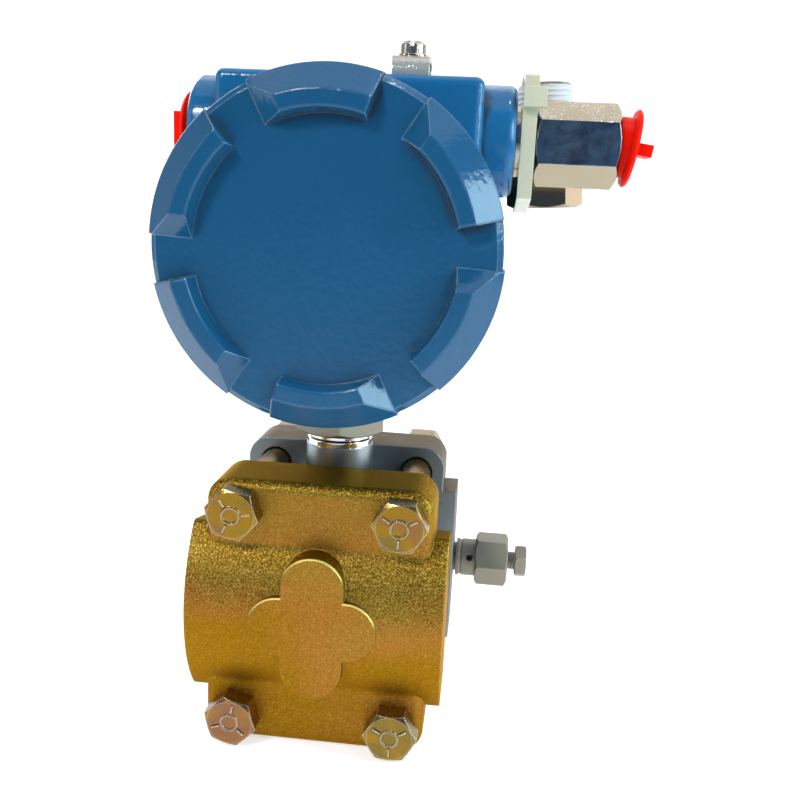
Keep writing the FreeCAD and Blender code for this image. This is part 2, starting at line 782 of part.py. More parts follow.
def make_housing():
    """The cast housing: conduit block, barrel with two bores, hubs and the socket for the neck."""
    body = new_body("housing")
    block = new_sketch(body, "block", "XZ_Plane", S.block_front)
    outline(block, rectangle(-S.block_width / 2, 0, S.block_width / 2, S.block_rise))
    solid = extrude(body, "Pad", block, S.block_front + S.block_rear, back=True)
    foot = lies_at("z", 0)
    soften(body, solid, S.block_round, lambda edge: not foot(edge))
    hub = new_sketch(body, "hubs", "YZ_Plane")
    circle(hub, S.hub_offset, S.hub_rise, S.hub_radius)
    hubs = extrude(body, "Pad", hub, S.hub_length, both=True)
    ends = [lies_at("x", hub_end * side) for side in (-1, 1)]
    soften(body, hubs, S.hub_round, lambda edge: any(at(edge) for at in ends))
    boss = new_sketch(body, "boss", "XY_Plane", -S.axis_rise)
    circle(boss, 0, 0, S.boss_radius)
    extrude(body, "Pad", boss, S.axis_rise - S.bore_radius / 2)
    make_barrel(body)
    conduits = new_sketch(body, "right_conduit", "YZ_Plane", hub_end)
    circle(conduits, S.hub_offset, S.hub_rise, S.conduit_radius)
    extrude(body, "Pocket", conduits, S.conduit_depth)
    conduits = new_sketch(body, "left_conduit", "YZ_Plane", -hub_end)
    circle(conduits, S.hub_offset, S.hub_rise, S.conduit_radius)
    extrude(body, "Pocket", conduits, S.conduit_depth, back=True)
    socket = new_sketch(body, "socket", "XY_Plane", -S.axis_rise)
    circle(socket, 0, 0, socket_radius)
    extrude(body, "Pocket", socket, S.socket_depth, back=True)
    wires = new_sketch(body, "wire_hole", "XY_Plane", -S.axis_rise)
    circle(wires, 0, -S.wire_hole_offset, S.wire_hole_radius)
    extrude(body, "Pocket", wires, S.axis_rise - S.bore_radius + 2 * OVERRUN, back=True)
    earth = new_sketch(body, "earth_hole", "XY_Plane", S.block_rise)
    circle(earth, S.earth_x, 0, S.earth_screw_radius + S.fit_gap)
    extrude(body, "Pocket", earth, S.earth_screw_depth + OVERRUN)
    boards = new_sketch(body, "board_taps", "XZ_Plane", S.wall_front)
    for x, z in board_spots():
        circle(boards, x, z, S.small_screw_radius + S.fit_gap)
    extrude(body, "Pocket", boards, S.wall_thickness - OVERRUN)
    ears = new_sketch(body, "terminal_taps", "XZ_Plane", S.wall_front - S.wall_thickness)
    for x, z in ear_spots():
        circle(ears, x, z, S.small_screw_radius + S.fit_gap)
    extrude(body, "Pocket", ears, S.wall_thickness - OVERRUN, back=True)
    place(body, z=cover_axis)


def make_barrel(body):
    """The round barrel with a rim at each end, then the two bores and their seal chamfers."""
    front = -S.front_reach
    rear = S.rear_reach
    step = S.rim_radius - S.barrel_radius
    barrel = new_sketch(body, "barrel", "XY_Plane")
    outline(barrel, [
        (0, front), (S.rim_radius, front), (S.rim_radius, front + S.rim_width),
        (S.barrel_radius, front + S.rim_width + step), (S.barrel_radius, rear - S.rim_width - step),
        (S.rim_radius, rear - S.rim_width), (S.rim_radius, rear), (0, rear),
    ])
    spin(body, "Revolution", barrel)
    mouth = S.bore_radius + S.seal_chamfer
    for name, wall, open_end, out in (
        ("front_bore", -S.wall_front, front, -1), ("rear_bore", wall_rear, rear, 1),
    ):
        bore = new_sketch(body, name, "XY_Plane")
        outline(bore, [
            (0, wall), (S.bore_radius, wall), (S.bore_radius, open_end - S.seal_chamfer * out),
            (mouth, open_end), (mouth, open_end + OVERRUN * out), (0, open_end + OVERRUN * out),
        ])
        spin(body, "Groove", bore)


def make_cover(label, turn):
    """A screwed cover: spigot, skirt and face, with lugs for a wrench round its edge."""
    body = new_body(label)
    face = S.cover_height
    bore = spigot_radius - S.spigot_wall
    turned(body, "shell", [
        (0, face - S.cover_wall), (bore, face - S.cover_wall), (bore, -S.spigot_length),
        (spigot_radius, -S.spigot_length), (spigot_radius, 0), (S.cover_radius, 0),
        (S.cover_radius, face - S.cover_chamfer), (S.cover_radius - S.cover_chamfer, face), (0, face),
    ])
    top = face + S.lug_height
    edge = S.cover_radius + S.lug_reach
    flat_start = S.lug_inner_radius + S.lug_draft
    flat_end = flat_start + S.lug_top_width
    shoulder = face - S.lug_shoulder
    lug = new_sketch(body, "lug", "XZ_Plane")
    root_radius = S.cover_radius - S.cover_chamfer - OVERRUN
    outline(lug, [
        (S.lug_inner_radius, face - OVERRUN), (S.lug_inner_radius, face), (flat_start, top), (flat_end, top),
        (edge, shoulder), (edge, face - S.lug_skirt), (root_radius, face - S.lug_skirt - S.lug_reach),
        (root_radius, face - OVERRUN),
    ])
    block = spin(body, "Revolution", lug, angle=S.lug_angle, back=True)
    ramp = new_sketch(body, "ramp", "YZ_Plane", S.lug_inner_radius - OVERRUN)
    outline(ramp, [
        (0, face), (OVERRUN, face), (OVERRUN, top + OVERRUN),
        (-S.lug_ramp * (S.lug_height + OVERRUN) / S.lug_height, top + OVERRUN),
    ])
    cut = extrude(body, "Pocket", ramp, edge - S.lug_inner_radius + 2 * OVERRUN, back=True)
    lugs = body.newObject("PartDesign::PolarPattern", "lugs")
    lugs.Originals = [block, cut]
    lugs.Axis = (lug, ["V_Axis"])
    lugs.Angle = 360
    lugs.setExpression("Occurrences", S.lug_count.text)
    body.Tip = lugs
    settle(body, lugs, False)
    soften(body, lugs, S.lug_round, lies_at("z", top))
    reach = S.front_reach if turn is OUT_FRONT else S.rear_reach
    out = -1 if turn is OUT_FRONT else 1
    tightened = turn * Rotation(Vector(0, 0, 1), S.lug_turn.number)
    place(body, y=(reach + S.turn_gap) * out, z=cover_axis, turn=tightened)


def make_cover_seal(label, turn):
    """The O-ring in the chamfer of the housing's bore, round the root of the cover's spigot."""
    ring = doc.addObject("Part::Torus", label)
    ring.setExpression("Radius1", (spigot_radius + S.thread_gap / 2 + S.seal_section).text)
    ring.setExpression("Radius2", S.seal_section.text)
    subparts.append(ring)
    reach = S.front_reach if turn is OUT_FRONT else S.rear_reach
    out = -1 if turn is OUT_FRONT else 1
    inset = S.seal_section + S.thread_gap / 2 - S.turn_gap
    place(ring, y=(reach - inset) * out, z=cover_axis, turn=turn)


def board_spots():
    """Where the three board screws stand, from the covers' axis."""
    angles = [math.radians(degrees) for degrees in (90, 210, 330)]
    circle_radius = S.board_bolt_circle
    return [(circle_radius * math.cos(angle), circle_radius * math.sin(angle)) for angle in angles]


def make_board(label, level, parts):
    """A round circuit board with what is soldered to it."""
    body = new_body(label)
    disc = new_sketch(body, "disc", "XY_Plane")
    circle(disc, 0, 0, S.board_radius)
    for x, z in board_spots():
        circle(disc, x, z, S.small_screw_radius + S.turn_gap)
    extrude(body, "Pad", disc, S.board_thickness)
    parts(body)
    place(body, y=-level, z=cover_axis, turn=OUT_FRONT)


def add_amplifier_parts(body):
    """A transformer can and the two trimmers for zero and span."""
    can = new_sketch(body, "can", "XY_Plane", S.board_thickness)
    outline(can, rectangle(-S.can_width / 2, -S.can_width, S.can_width / 2, 0))
    extrude(body, "Pad", can, S.can_height)
    trimmers = new_sketch(body, "trimmers", "XY_Plane", S.board_thickness)
    for side in (-1, 1):
        circle(trimmers, S.can_width / 2 * side, S.can_width / 2, S.trimmer_radius)
    extrude(body, "Pad", trimmers, S.trimmer_height)


def add_output_parts(body):
    """The header that takes the cell's leads."""
    header = new_sketch(body, "header", "XY_Plane", S.board_thickness)
    outline(header, rectangle(-S.can_width / 2, -S.can_width, S.can_width / 2, -S.can_width / 2))
    extrude(body, "Pad", header, S.trimmer_height)


def make_boards():
    """Two boards on standoffs in the front compartment, held by three long screws."""
    inner_face = S.wall_front + S.inner_standoff
    outer_foot = inner_face + S.board_thickness
    outer_face = outer_foot + S.outer_standoff
    make_board("output_board", inner_face, add_output_parts)
    make_board("amplifier_board", outer_face, add_amplifier_parts)
    posts = []
    rows = (("inner", S.inner_standoff, S.wall_front), ("outer", S.outer_standoff, outer_foot))
    for name, length, foot in rows:
        post = prototype(f"{name}_standoff")
        turned(post, "post", rectangle(S.small_screw_radius + S.fit_gap, 0, S.standoff_radius, length))
        posts.append((post, foot))
    screw = small_screw("board_screw", outer_face + S.board_thickness - S.wall_front + S.wall_thickness / 2)
    spots = [(x.number, (cover_axis + z).number) for x, z in board_spots()]
    group("board_standoffs", [
        (post, Placement(Vector(x, -foot.number, z), OUT_FRONT)) for post, foot in posts for x, z in spots
    ])
    head = -(outer_face + S.board_thickness).number
    group("board_screws", [(screw, Placement(Vector(x, head, z), OUT_FRONT)) for x, z in spots])


def small_screw(label, length):
    """A pan-headed screw that is copied; its head stands on the level it clamps."""
    screw = prototype(label)
    head = S.small_head_radius
    top = S.small_head_height
    rounding = top * 0.4
    turned(screw, "screw", [
        (0, -length), (S.small_screw_radius, -length), (S.small_screw_radius, 0), (head, 0),
        (head, top - rounding), (head - rounding, top), (0, top),
    ])
    slot = new_sketch(screw, "slot", "XY_Plane", top)
    half = head * 0.15
    outline(slot, rectangle(-head, -half, head, half))
    extrude(screw, "Pocket", slot, rounding)
    return screw


def ear_spots():
    """Where the terminal block's two fixing screws stand, from the covers' axis."""
    out = (S.terminal_width + S.ear_width) / 2
    return [(out * side, -S.terminal_drop) for side in (-1, 1)]


def make_terminal_block():
    """The moulded block with a screw terminal between each pair of barriers."""
    body = new_body("terminal_block")
    half = S.terminal_width / 2
    top = S.terminal_height / 2
    end = half + S.ear_width
    base = new_sketch(body, "base", "XZ_Plane")
    outline(base, rectangle(-end, -top, end, top))
    extrude(body, "Pad", base, S.ear_depth, back=True)
    block = new_sketch(body, "block", "XZ_Plane")
    outline(block, rectangle(-half, -top, half, top))
    extrude(body, "Pad", block, S.terminal_depth, back=True)
    pitch = (S.terminal_width - S.barrier_width) / S.terminal_count
    room = (pitch - S.barrier_width) / 2
    slots = new_sketch(body, "slots", "XZ_Plane", -S.terminal_depth)
    taps = new_sketch(body, "taps", "XZ_Plane", -S.terminal_depth)
    count = int(S.terminal_count.number)
    middles = [pitch * (index + 0.5) - half + S.barrier_width / 2 for index in range(count)]
    for middle in middles:
        outline(slots, rectangle(middle - room, -top - OVERRUN, middle + room, top + OVERRUN))
        circle(taps, middle, 0, S.small_screw_radius + S.fit_gap)
    extrude(body, "Pocket", slots, S.terminal_slot_depth, back=True)
    extrude(body, "Pocket", taps, S.terminal_depth - OVERRUN, back=True)
    holes = new_sketch(body, "ear_holes", "XZ_Plane")
    for x, _ in ear_spots():
        circle(holes, x, 0, S.small_screw_radius + S.turn_gap)
    extrude(body, "Pocket", holes, S.ear_depth)
    place(body, y=wall_rear, z=cover_axis - S.terminal_drop)
    floor = (wall_rear + S.terminal_depth - S.terminal_slot_depth).number
    level = (cover_axis - S.terminal_drop).number
    screw = small_screw("terminal_screw", (S.terminal_depth - S.terminal_slot_depth) * 0.6)
    group("terminal_screws", [
        (screw, Placement(Vector(middle.number, floor, level), OUT_REAR)) for middle in middles
    ])
    fixing = small_screw("fixing_screw", S.ear_depth + S.wall_thickness / 2)
    ear = (wall_rear + S.ear_depth).number
    group("terminal_block_screws", [
        (fixing, Placement(Vector(x.number, ear, level), OUT_REAR)) for x, _ in ear_spots()
    ])


def make_conduit_adapter():
    """The long hexagonal adapter screwed into the right hub, with a tapped socket in its end."""
    body = new_body("conduit_adapter")
    neck = hexagon_foot - hub_end
    thread = S.conduit_radius - S.fit_gap
    top = neck + S.adapter_hex_length
    turned(body, "stem", [
        (0, -S.adapter_thread_length), (thread - OVERRUN, -S.adapter_thread_length),
        (thread, OVERRUN - S.adapter_thread_length), (thread, 0), (S.adapter_neck_radius, 0),
        (S.adapter_neck_radius, neck + OVERRUN), (0, neck + OVERRUN),
    ])
    block = new_sketch(body, "hexagon", "XY_Plane", neck)
    outline(block, hexagon(S.adapter_flats, corner_up=False))
    extrude(body, "Pad", block, S.adapter_hex_length)
    chamfer_hexagon(body, "outer_edge", S.adapter_flats, top)
    chamfer_hexagon(body, "inner_edge", S.adapter_flats, neck, down=True)
    turned(body, "bore", [
        (0, -S.adapter_thread_length - OVERRUN), (S.adapter_bore_radius, -S.adapter_thread_length - OVERRUN),
        (S.adapter_bore_radius, top - S.adapter_socket_depth),
        (S.conduit_radius, top - S.adapter_socket_depth),
        (S.conduit_radius, top + OVERRUN), (0, top + OVERRUN),
    ], kind="Groove")
    place(body, hub_end, S.hub_offset, hub_axis, turn=OUT_RIGHT)


def make_spare_plug():
    """The pipe plug that is tied behind the adapter, thread up and a little aslant."""
    body = new_body("spare_plug")
    block = new_sketch(body, "hexagon", "XY_Plane")
    outline(block, hexagon(S.spare_flats, corner_up=False))
    extrude(body, "Pad", block, S.spare_hex_length)
    chamfer_hexagon(body, "lower_edge", S.spare_flats, as_size(0), down=True)
    chamfer_hexagon(body, "upper_edge", S.spare_flats, S.spare_hex_length)
    turned(body, "thread", [
        (0, S.spare_hex_length - OVERRUN), (S.spare_thread_radius, S.spare_hex_length - OVERRUN),
        (S.spare_thread_radius, S.spare_length - OVERRUN), (S.spare_thread_radius - OVERRUN, S.spare_length),
        (0, S.spare_length),
    ])
    place(body, *spare_spot(), turn=Rotation(Vector(0, 1, 0), -S.spare_tilt.number))


def spare_spot():
    """Where the spare plug stands: beside the hub, clear of it and of the rear cover."""
    behind = S.hub_offset + S.hub_radius + S.spare_flats / 2 + S.plug_gap
    return hexagon_foot + S.spare_out, behind, hub_axis - S.spare_drop


def make_cable_tie():
    """The nylon tie: one band round the adapter's neck and the spare plug, its head and cut tail."""
    body = new_body("cable_tie")
    _, spare_y, spare_foot = spare_spot()
    front = S.hub_offset - S.adapter_neck_radius - S.fit_gap
    near = spare_y - S.spare_thread_radius
    far = spare_y + S.spare_flats / 2 + S.plug_gap
    slack = S.spare_flats / 2 * sine(S.spare_tilt) + S.fit_gap
    low = spare_foot - slack - hub_axis
    high = low + S.spare_length + 2 * slack
    bottom = -S.tie_front_height / 2
    top = S.tie_front_height / 2
    inner = [(front, bottom), (near, low), (far, low), (far, high), (near, high), (front, top)]
    wall = S.tie_thickness
    outer = [
        (front - wall, bottom - wall / 2), (near - wall / 2, low - wall), (far + wall, low - wall),
        (far + wall, high + wall), (near - wall / 2, high + wall), (front - wall, top + wall / 2),
    ]
    band = new_sketch(body, "band", "YZ_Plane")
    outline(band, outer)
    outline(band, inner)
    loop = extrude(body, "Pad", band, S.tie_width)
    level = as_size(far).number

    def back_corner(edge):
        points = [vertex.Point for vertex in edge.Vertexes]
        return abs(points[0].x - points[-1].x) > 1e-3 and points[0].y > level - 1e-4

    soften(body, loop, S.tie_thickness, back_corner)
    head_top = top - OVERRUN
    head_front = front - S.tie_head_depth
    head = new_sketch(body, "head", "YZ_Plane")
    outline(head, rectangle(head_front, head_top - S.tie_head_height, front - wall / 2, head_top))
    extrude(body, "Pad", head, S.tie_head_width)
    tail = new_sketch(body, "tail", "YZ_Plane")
    tail_top = head_top + S.tie_tail_length
    outline(tail, rectangle(head_front + wall, head_top - OVERRUN, head_front + 2 * wall, tail_top))
    extrude(body, "Pad", tail, S.tie_width)
    place(body, hexagon_foot - S.plug_gap / 2 - S.tie_width, 0, hub_axis)


def make_plug(label, mouth_radius, spot, turn, tab_upright):
    """A moulded thread protector: hollow tapered neck, rim and a pull tab across its face."""
    body = new_body(label)
    outer = mouth_radius - S.plug_gap
    tip = outer - S.plug_gap
    inner = tip - S.plug_wall
    rim_top = S.plug_rim_thickness
    rounding = S.plug_rim_thickness * 0.4
    turned(body, "cup", [
        (0, 0), (inner, 0), (inner, -S.plug_neck_length), (tip, -S.plug_neck_length), (outer, 0),
        (S.plug_rim_radius - rounding, 0), (S.plug_rim_radius, rounding),
        (S.plug_rim_radius, rim_top - rounding), (S.plug_rim_radius - rounding, rim_top), (0, rim_top),
    ])
    tab = new_sketch(body, "tab", "XY_Plane", rim_top - rounding)
    long_side = S.plug_tab_length / 2
    short_side = S.plug_tab_width / 2
    half_x, half_y = (long_side, short_side) if tab_upright else (short_side, long_side)
    outline(tab, rectangle(-half_x, -half_y, half_x, half_y))
    extrude(body, "Pad", tab, S.plug_tab_height + rounding)
    place(body, *spot, turn=turn)


def make_plugs():
    """The plug in the left hub, and the one left standing askew in the adapter."""
    left = (-(hub_end + S.plug_lift), S.hub_offset, hub_axis)
    make_plug("left_plug", S.conduit_radius, left, OUT_LEFT, tab_upright=True)
    out = hexagon_foot + S.adapter_hex_length + S.plug_standoff
    askew = Rotation(Vector(0, 1, 0), S.plug_tilt.number) * OUT_RIGHT
    right = (out, S.hub_offset, hub_axis - S.plug_sag)
    make_plug("right_plug", S.conduit_radius, right, askew, tab_upright=False)


def make_earth_terminal():
    """The folded clamp on the conduit block, with its washer and slotted screw."""
    clamp = new_body("earth_clamp")
    half = S.earth_clamp_depth / 2
    sheet_top = S.earth_clamp_height - S.earth_sheet
    fold = new_sketch(clamp, "fold", "YZ_Plane")
    room = half - S.earth_sheet
    outline(fold, [
        (-half, 0), (-room, 0), (-room, sheet_top), (room, sheet_top), (room, 0), (half, 0),
        (half, S.earth_clamp_height), (-half, S.earth_clamp_height),
    ])
    saddle = extrude(clamp, "Pad", fold, S.earth_clamp_width, both=True)
    on_top = lies_at("z", S.earth_clamp_height)
    sides = [lies_at("y", half * side) for side in (-1, 1)]
    soften(clamp, saddle, S.earth_sheet * 0.7, lambda edge: on_top(edge) and any(at(edge) for at in sides))
    hole = new_sketch(clamp, "hole", "XY_Plane", S.earth_clamp_height)
    circle(hole, 0, 0, S.earth_screw_radius + S.turn_gap)
    extrude(clamp, "Pocket", hole, S.earth_clamp_height)
    place(clamp, S.earth_x, 0, block_top)
    washer = new_body("earth_washer")
    bore = S.earth_screw_radius + S.turn_gap
    turned(washer, "ring", rectangle(bore, 0, S.earth_washer_radius, S.earth_washer_thickness))
    place(washer, S.earth_x, 0, block_top + S.earth_clamp_height)
    screw = new_body("earth_screw")
    foot = -S.earth_washer_thickness - S.earth_clamp_height - S.earth_screw_depth
    head = S.earth_head_radius
    top = S.earth_head_height
    rounding = top * 0.25
    turned(screw, "screw", [
        (0, foot), (S.earth_screw_radius, foot), (S.earth_screw_radius, 0), (head, 0),
        (head, top - rounding), (head - rounding, top), (0, top),
    ])
    slot = new_sketch(screw, "slot", "XY_Plane", top)
    half_slot = head * 0.14
    outline(slot, rectangle(-half_slot, -head, half_slot, head))
    extrude(screw, "Pocket", slot, top * 0.45)
    place(screw, S.earth_x, 0, block_top + S.earth_clamp_height + S.earth_washer_thickness)


def check_and_write():
    """Stop on any failed object, then write one file for each sub-part."""
    doc.recompute()
    for thing in doc.Objects:
        if "Invalid" in thing.State or "Error" in thing.State:
            raise RuntimeError(f"{thing.Name} failed: {thing.State}")
    for thing in subparts:
        if thing.Shape.isNull() or not thing.Shape.isValid():
            raise RuntimeError(f"{thing.Label} has no valid shape")
    os.makedirs("parts", exist_ok=True)
    for thing in subparts:
        thing.Shape.exportStep(os.path.join("parts", f"{thing.Label}.step"))


make_sensor_module()
for side, direction in (("front", OUT_FRONT), ("rear", OUT_REAR)):
    make_diaphragm(f"{side}_diaphragm", direction)
    make_gasket(f"{side}_gasket", direction)
make_flanges()
make_flange_bolts()
make_lock_nut()
make_vent_valve()
make_housing()
make_boards()
make_terminal_block()
for side, direction in (("front", OUT_FRONT), ("rear", OUT_REAR)):
    make_cover(f"{side}_cover", direction)
    make_cover_seal(f"{side}_cover_seal", direction)
make_conduit_adapter()
make_spare_plug()
make_cable_tie()
make_plugs()
make_earth_terminal()
check_and_write()
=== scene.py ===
"""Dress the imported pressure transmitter: finishes, threads, raised marks, studio and camera."""

import json
import logging
import math
from dataclasses import dataclass
from enum import Enum
from typing import Any, Iterable, Optional, Sequence, Union

import bmesh
import bpy
from mathutils import Matrix, Vector


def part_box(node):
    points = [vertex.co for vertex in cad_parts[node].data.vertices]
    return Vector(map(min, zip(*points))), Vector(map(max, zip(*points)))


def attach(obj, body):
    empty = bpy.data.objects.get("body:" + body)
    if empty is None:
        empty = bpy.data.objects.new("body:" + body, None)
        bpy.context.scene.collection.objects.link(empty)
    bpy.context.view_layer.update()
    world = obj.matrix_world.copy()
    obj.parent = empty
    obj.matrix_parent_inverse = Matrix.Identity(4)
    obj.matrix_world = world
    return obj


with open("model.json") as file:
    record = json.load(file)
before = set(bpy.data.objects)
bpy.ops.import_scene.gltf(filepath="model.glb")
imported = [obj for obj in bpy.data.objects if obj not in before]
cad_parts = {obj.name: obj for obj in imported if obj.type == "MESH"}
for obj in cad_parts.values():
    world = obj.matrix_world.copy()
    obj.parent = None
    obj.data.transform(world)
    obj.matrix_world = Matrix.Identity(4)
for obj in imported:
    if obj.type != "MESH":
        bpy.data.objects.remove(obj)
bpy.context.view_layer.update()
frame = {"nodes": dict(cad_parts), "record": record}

log = logging.getLogger("transmitter")

MM = 0.001
CREASE = math.radians(32)
HOUSING_AXIS_Z = 168.5 * MM
FLANGE_AXIS_Z = 46.75 * MM
BOLT_SPAN_X = 54.6 * MM
BOLT_SPAN_Z = 74.0 * MM

Colour = tuple[float, float, float]
Stops = Sequence[tuple[float, Colour]]
Slope = tuple[float, float]
Spot = tuple[float, float, float]


class Term:
    """A socket that takes part in arithmetic; each operation adds one Math node."""

    def __init__(self, tree: "FinishTree", socket: bpy.types.NodeSocket) -> None:
        """Keep the tree that new nodes go to, and the socket."""
        self.tree = tree
        self.socket = socket

    def __add__(self, other: "Value") -> "Term":
        """This plus other."""
        return self.tree.math("ADD", self, other)

    def __radd__(self, other: "Value") -> "Term":
        """Other plus this."""
        return self.tree.math("ADD", other, self)

    def __sub__(self, other: "Value") -> "Term":
        """This less other."""
        return self.tree.math("SUBTRACT", self, other)

    def __rsub__(self, other: "Value") -> "Term":
        """Other less this."""
        return self.tree.math("SUBTRACT", other, self)

    def __mul__(self, other: "Value") -> "Term":
        """This times other."""
        return self.tree.math("MULTIPLY", self, other)

    def __rmul__(self, other: "Value") -> "Term":
        """Other times this."""
        return self.tree.math("MULTIPLY", other, self)

    def __pow__(self, other: "Value") -> "Term":
        """This to the power of other."""
        return self.tree.math("POWER", self, other)

    def __rpow__(self, other: "Value") -> "Term":
        """Other to the power of this."""
        return self.tree.math("POWER", other, self)

    def __gt__(self, other: "Value") -> "Term":
        """One where this is greater, else nought."""
        return self.tree.math("GREATER_THAN", self, other)

    def __lt__(self, other: "Value") -> "Term":
        """One where this is less, else nought."""
        return self.tree.math("LESS_THAN", self, other)


Value = Union[Term, float, int]
Feed = Union[Term, float, int, Sequence[float]]


@dataclass(frozen=True)
class Grain:
    """A noise: lumps per metre, octaves, strength of the finer ones, and distortion."""

    scale: float
    detail: float = 2.0
    rough: float = 0.5
    twist: float = 0.0


class FinishTree:
    """The node tree of one finish, with short ways to add what the finishes share."""

    BEVEL_SAMPLES = 6
    AIR_SAMPLES = 8
    CORNER_REACH = 2.5 * MM
    CORNER_SLOPE: Slope = (0.62, 4.0)

    def __init__(self, name: str) -> None:
        """Start a material with its shader and output.

        Args:
            name: The material's name.
        """
        self.material = bpy.data.materials.new(name)
        self.material.use_nodes = True
        self.nodes = self.material.node_tree.nodes
        self.links = self.material.node_tree.links
        self.shader = self.nodes["Principled BSDF"]

    def feed(self, socket: bpy.types.NodeSocket, value: Feed) -> None:
        """Link a term to a socket, or set the socket's own value.

        Args:
            socket: The input to fill.
            value: A term, a number, or a colour or vector.
        """
        if isinstance(value, Term):
            self.links.new(value.socket, socket)
        elif isinstance(value, (int, float)):
            socket.default_value = float(value)
        elif socket.type == "RGBA":
            socket.default_value = (*value, 1.0)
        else:
            socket.default_value = tuple(value)

    def node(
        self,
        kind: str,
        settings: Optional[dict[str, Any]] = None,
        sockets: Optional[dict[Union[str, int], Feed]] = None,
        output: Union[str, int] = 0,
    ) -> Term:
        """Add any node.

        Args:
            kind: The node's type.
            settings: Its properties, set first; "stops" fills a ramp.
            sockets: Values or links by socket name or number.
            output: Which output the term stands for.

        Returns:
            The term of that output.
        """
        made = self.nodes.new(kind)
        for key, value in (settings or {}).items():
            if key == "stops":
                self._fill_ramp(made.color_ramp, value)
            else:
                setattr(made, key, value)
        for key, value in (sockets or {}).items():
            self.feed(made.inputs[key], value)
        return Term(self, made.outputs[output])

    @staticmethod
    def _fill_ramp(ramp: bpy.types.ColorRamp, stops: Stops) -> None:
        """Give a ramp its stops.

        Args:
            ramp: The ramp to fill.
            stops: Places and colours, in order.
        """
        while len(ramp.elements) < len(stops):
            ramp.elements.new(1.0)
        for element, (place, colour) in zip(ramp.elements, stops):
            element.position = place
            element.color = (*colour, 1.0)

    def math(self, operation: str, left: Value, right: Value = 0.0, clamp: bool = False) -> Term:
        """One Math node.

        Args:
            operation: The node's operation.
            left: First value.
            right: Second value.
            clamp: Whether the result stays between nought and one.

        Returns:
            The result.
        """
        settings = {"operation": operation, "use_clamp": clamp}
        return self.node("ShaderNodeMath", settings, {0: left, 1: right})

    def clamp(self, value: Term) -> Term:
        """The value held between nought and one."""
        return self.math("ADD", value, 0.0, clamp=True)

    def mask(self, value: Term, slope: Slope) -> Term:
        """A mask that leaves nought where a value passes a level.

        Args:
            value: What decides.
            slope: The level, and the rise per unit past it; a negative rise masks what is below.

        Returns:
            A value from nought to one.
        """
        level, rise = slope
        return self.clamp((value - level) * rise)

    def place(self) -> Term:
        """The point on the surface, in metres, in the part's own frame."""
        return self.node("ShaderNodeTexCoord", output="Object")

    def axis(self, name: str) -> Term:
        """One coordinate of the point on the surface."""
        return self.node("ShaderNodeSeparateXYZ", sockets={0: self.place()}, output=name)

    def noise(self, grain: Grain) -> Term:
        """Smooth noise.

        Args:
            grain: How it looks.

        Returns:
            A value about one half.
        """
        return self.node("ShaderNodeTexNoise", None, {
            "Vector": self.place(), "Scale": grain.scale, "Detail": grain.detail,
            "Roughness": grain.rough, "Distortion": grain.twist,
        })

    def marks(self, along: str, scale: float) -> Term:
        """Tool marks across one axis.

        Args:
            along: The axis.
            scale: Marks per metre.

        Returns:
            A value about one half.
        """
        return self.node("ShaderNodeTexNoise", {"noise_dimensions": "1D"}, {
            "W": self.axis(along), "Scale": scale, "Detail": 2.0,
        })

    def cells(self, scale: float) -> Term:
        """The distance from the middle of the nearest of so many cells per metre."""
        return self.node("ShaderNodeTexVoronoi", None, {"Vector": self.place(), "Scale": scale})

    def ramp(self, value: Value, stops: Stops) -> Term:
        """A colour chosen by a value.

        Args:
            value: The place along the ramp.
            stops: Places and colours.

        Returns:
            The colour.
        """
        return self.node("ShaderNodeValToRGB", {"stops": stops}, {0: value}, "Color")

    def blend(self, factor: Value, first: Feed, second: Feed) -> Term:
        """Two colours mixed.

        Args:
            factor: Share of the second.
            first: First colour.
            second: Second colour.

        Returns:
            The colour.
        """
        return self.node("ShaderNodeMix", {"data_type": "RGBA"}, {0: factor, 6: first, 7: second}, 2)

    def facing(self, axis: str) -> Term:
        """How far the surface looks along one axis, from minus one to one."""
        return self.node("ShaderNodeSeparateXYZ", sockets={0: self.flat_normal()}, output=axis)

    def flat_normal(self) -> Term:
        """The surface's own direction."""
        return self.node("ShaderNodeNewGeometry", output="Normal")

    def round_normal(self, radius: float) -> Term:
        """The surface's direction with its edges rounded by that radius."""
        return self.node("ShaderNodeBevel", {"samples": self.BEVEL_SAMPLES}, {"Radius": radius})

    def edges(self, radius: float, gain: float) -> Term:
        """Where the surface bends sharply.

        Args:
            radius: How wide an edge counts.
            gain: How strongly.

        Returns:
            One on an edge, nought on a flat.
        """
        sockets = {0: self.round_normal(radius), 1: self.flat_normal()}
        dot = self.node("ShaderNodeVectorMath", {"operation": "DOT_PRODUCT"}, sockets, "Value")
        return self.clamp((1 - dot) * gain)

    def open_air(self, reach: float) -> Term:
        """How open the space within that reach of the surface is, from nought to one."""
        settings = {"samples": self.AIR_SAMPLES}
        return self.node("ShaderNodeAmbientOcclusion", settings, {"Distance": reach}, "AO")

    def ridges(self, radius: float, gain: float) -> Term:
        """Where the surface bends sharply outward.

        Args:
            radius: How wide an edge counts.
            gain: How strongly.

        Returns:
            One on an outer edge, nought on a flat or in a hollow.
        """
        return self.edges(radius, gain) * self.mask(self.open_air(self.CORNER_REACH), self.CORNER_SLOPE)

    def relief(self, height: Term, depth: float, strength: float, normal: Term) -> Term:
        """A bump over a normal.

        Args:
            height: What stands up, from nought to one.
            depth: How far, in metres.
            strength: How much of it shows.
            normal: The direction it starts from.

        Returns:
            The new direction.
        """
        sockets = {"Strength": strength, "Distance": depth, "Height": height, "Normal": normal}
        return self.node("ShaderNodeBump", None, sockets)

    def finish(self, constants: dict[str, Feed], varying: dict[str, Term]) -> bpy.types.Material:
        """Fill the shader.

        Args:
            constants: Numbers and colours that are the same all over.
            varying: Terms that change over the surface.

        Returns:
            The material.
        """
        for key, value in {**constants, **varying}.items():
            self.feed(self.shader.inputs[key], value)
        return self.material


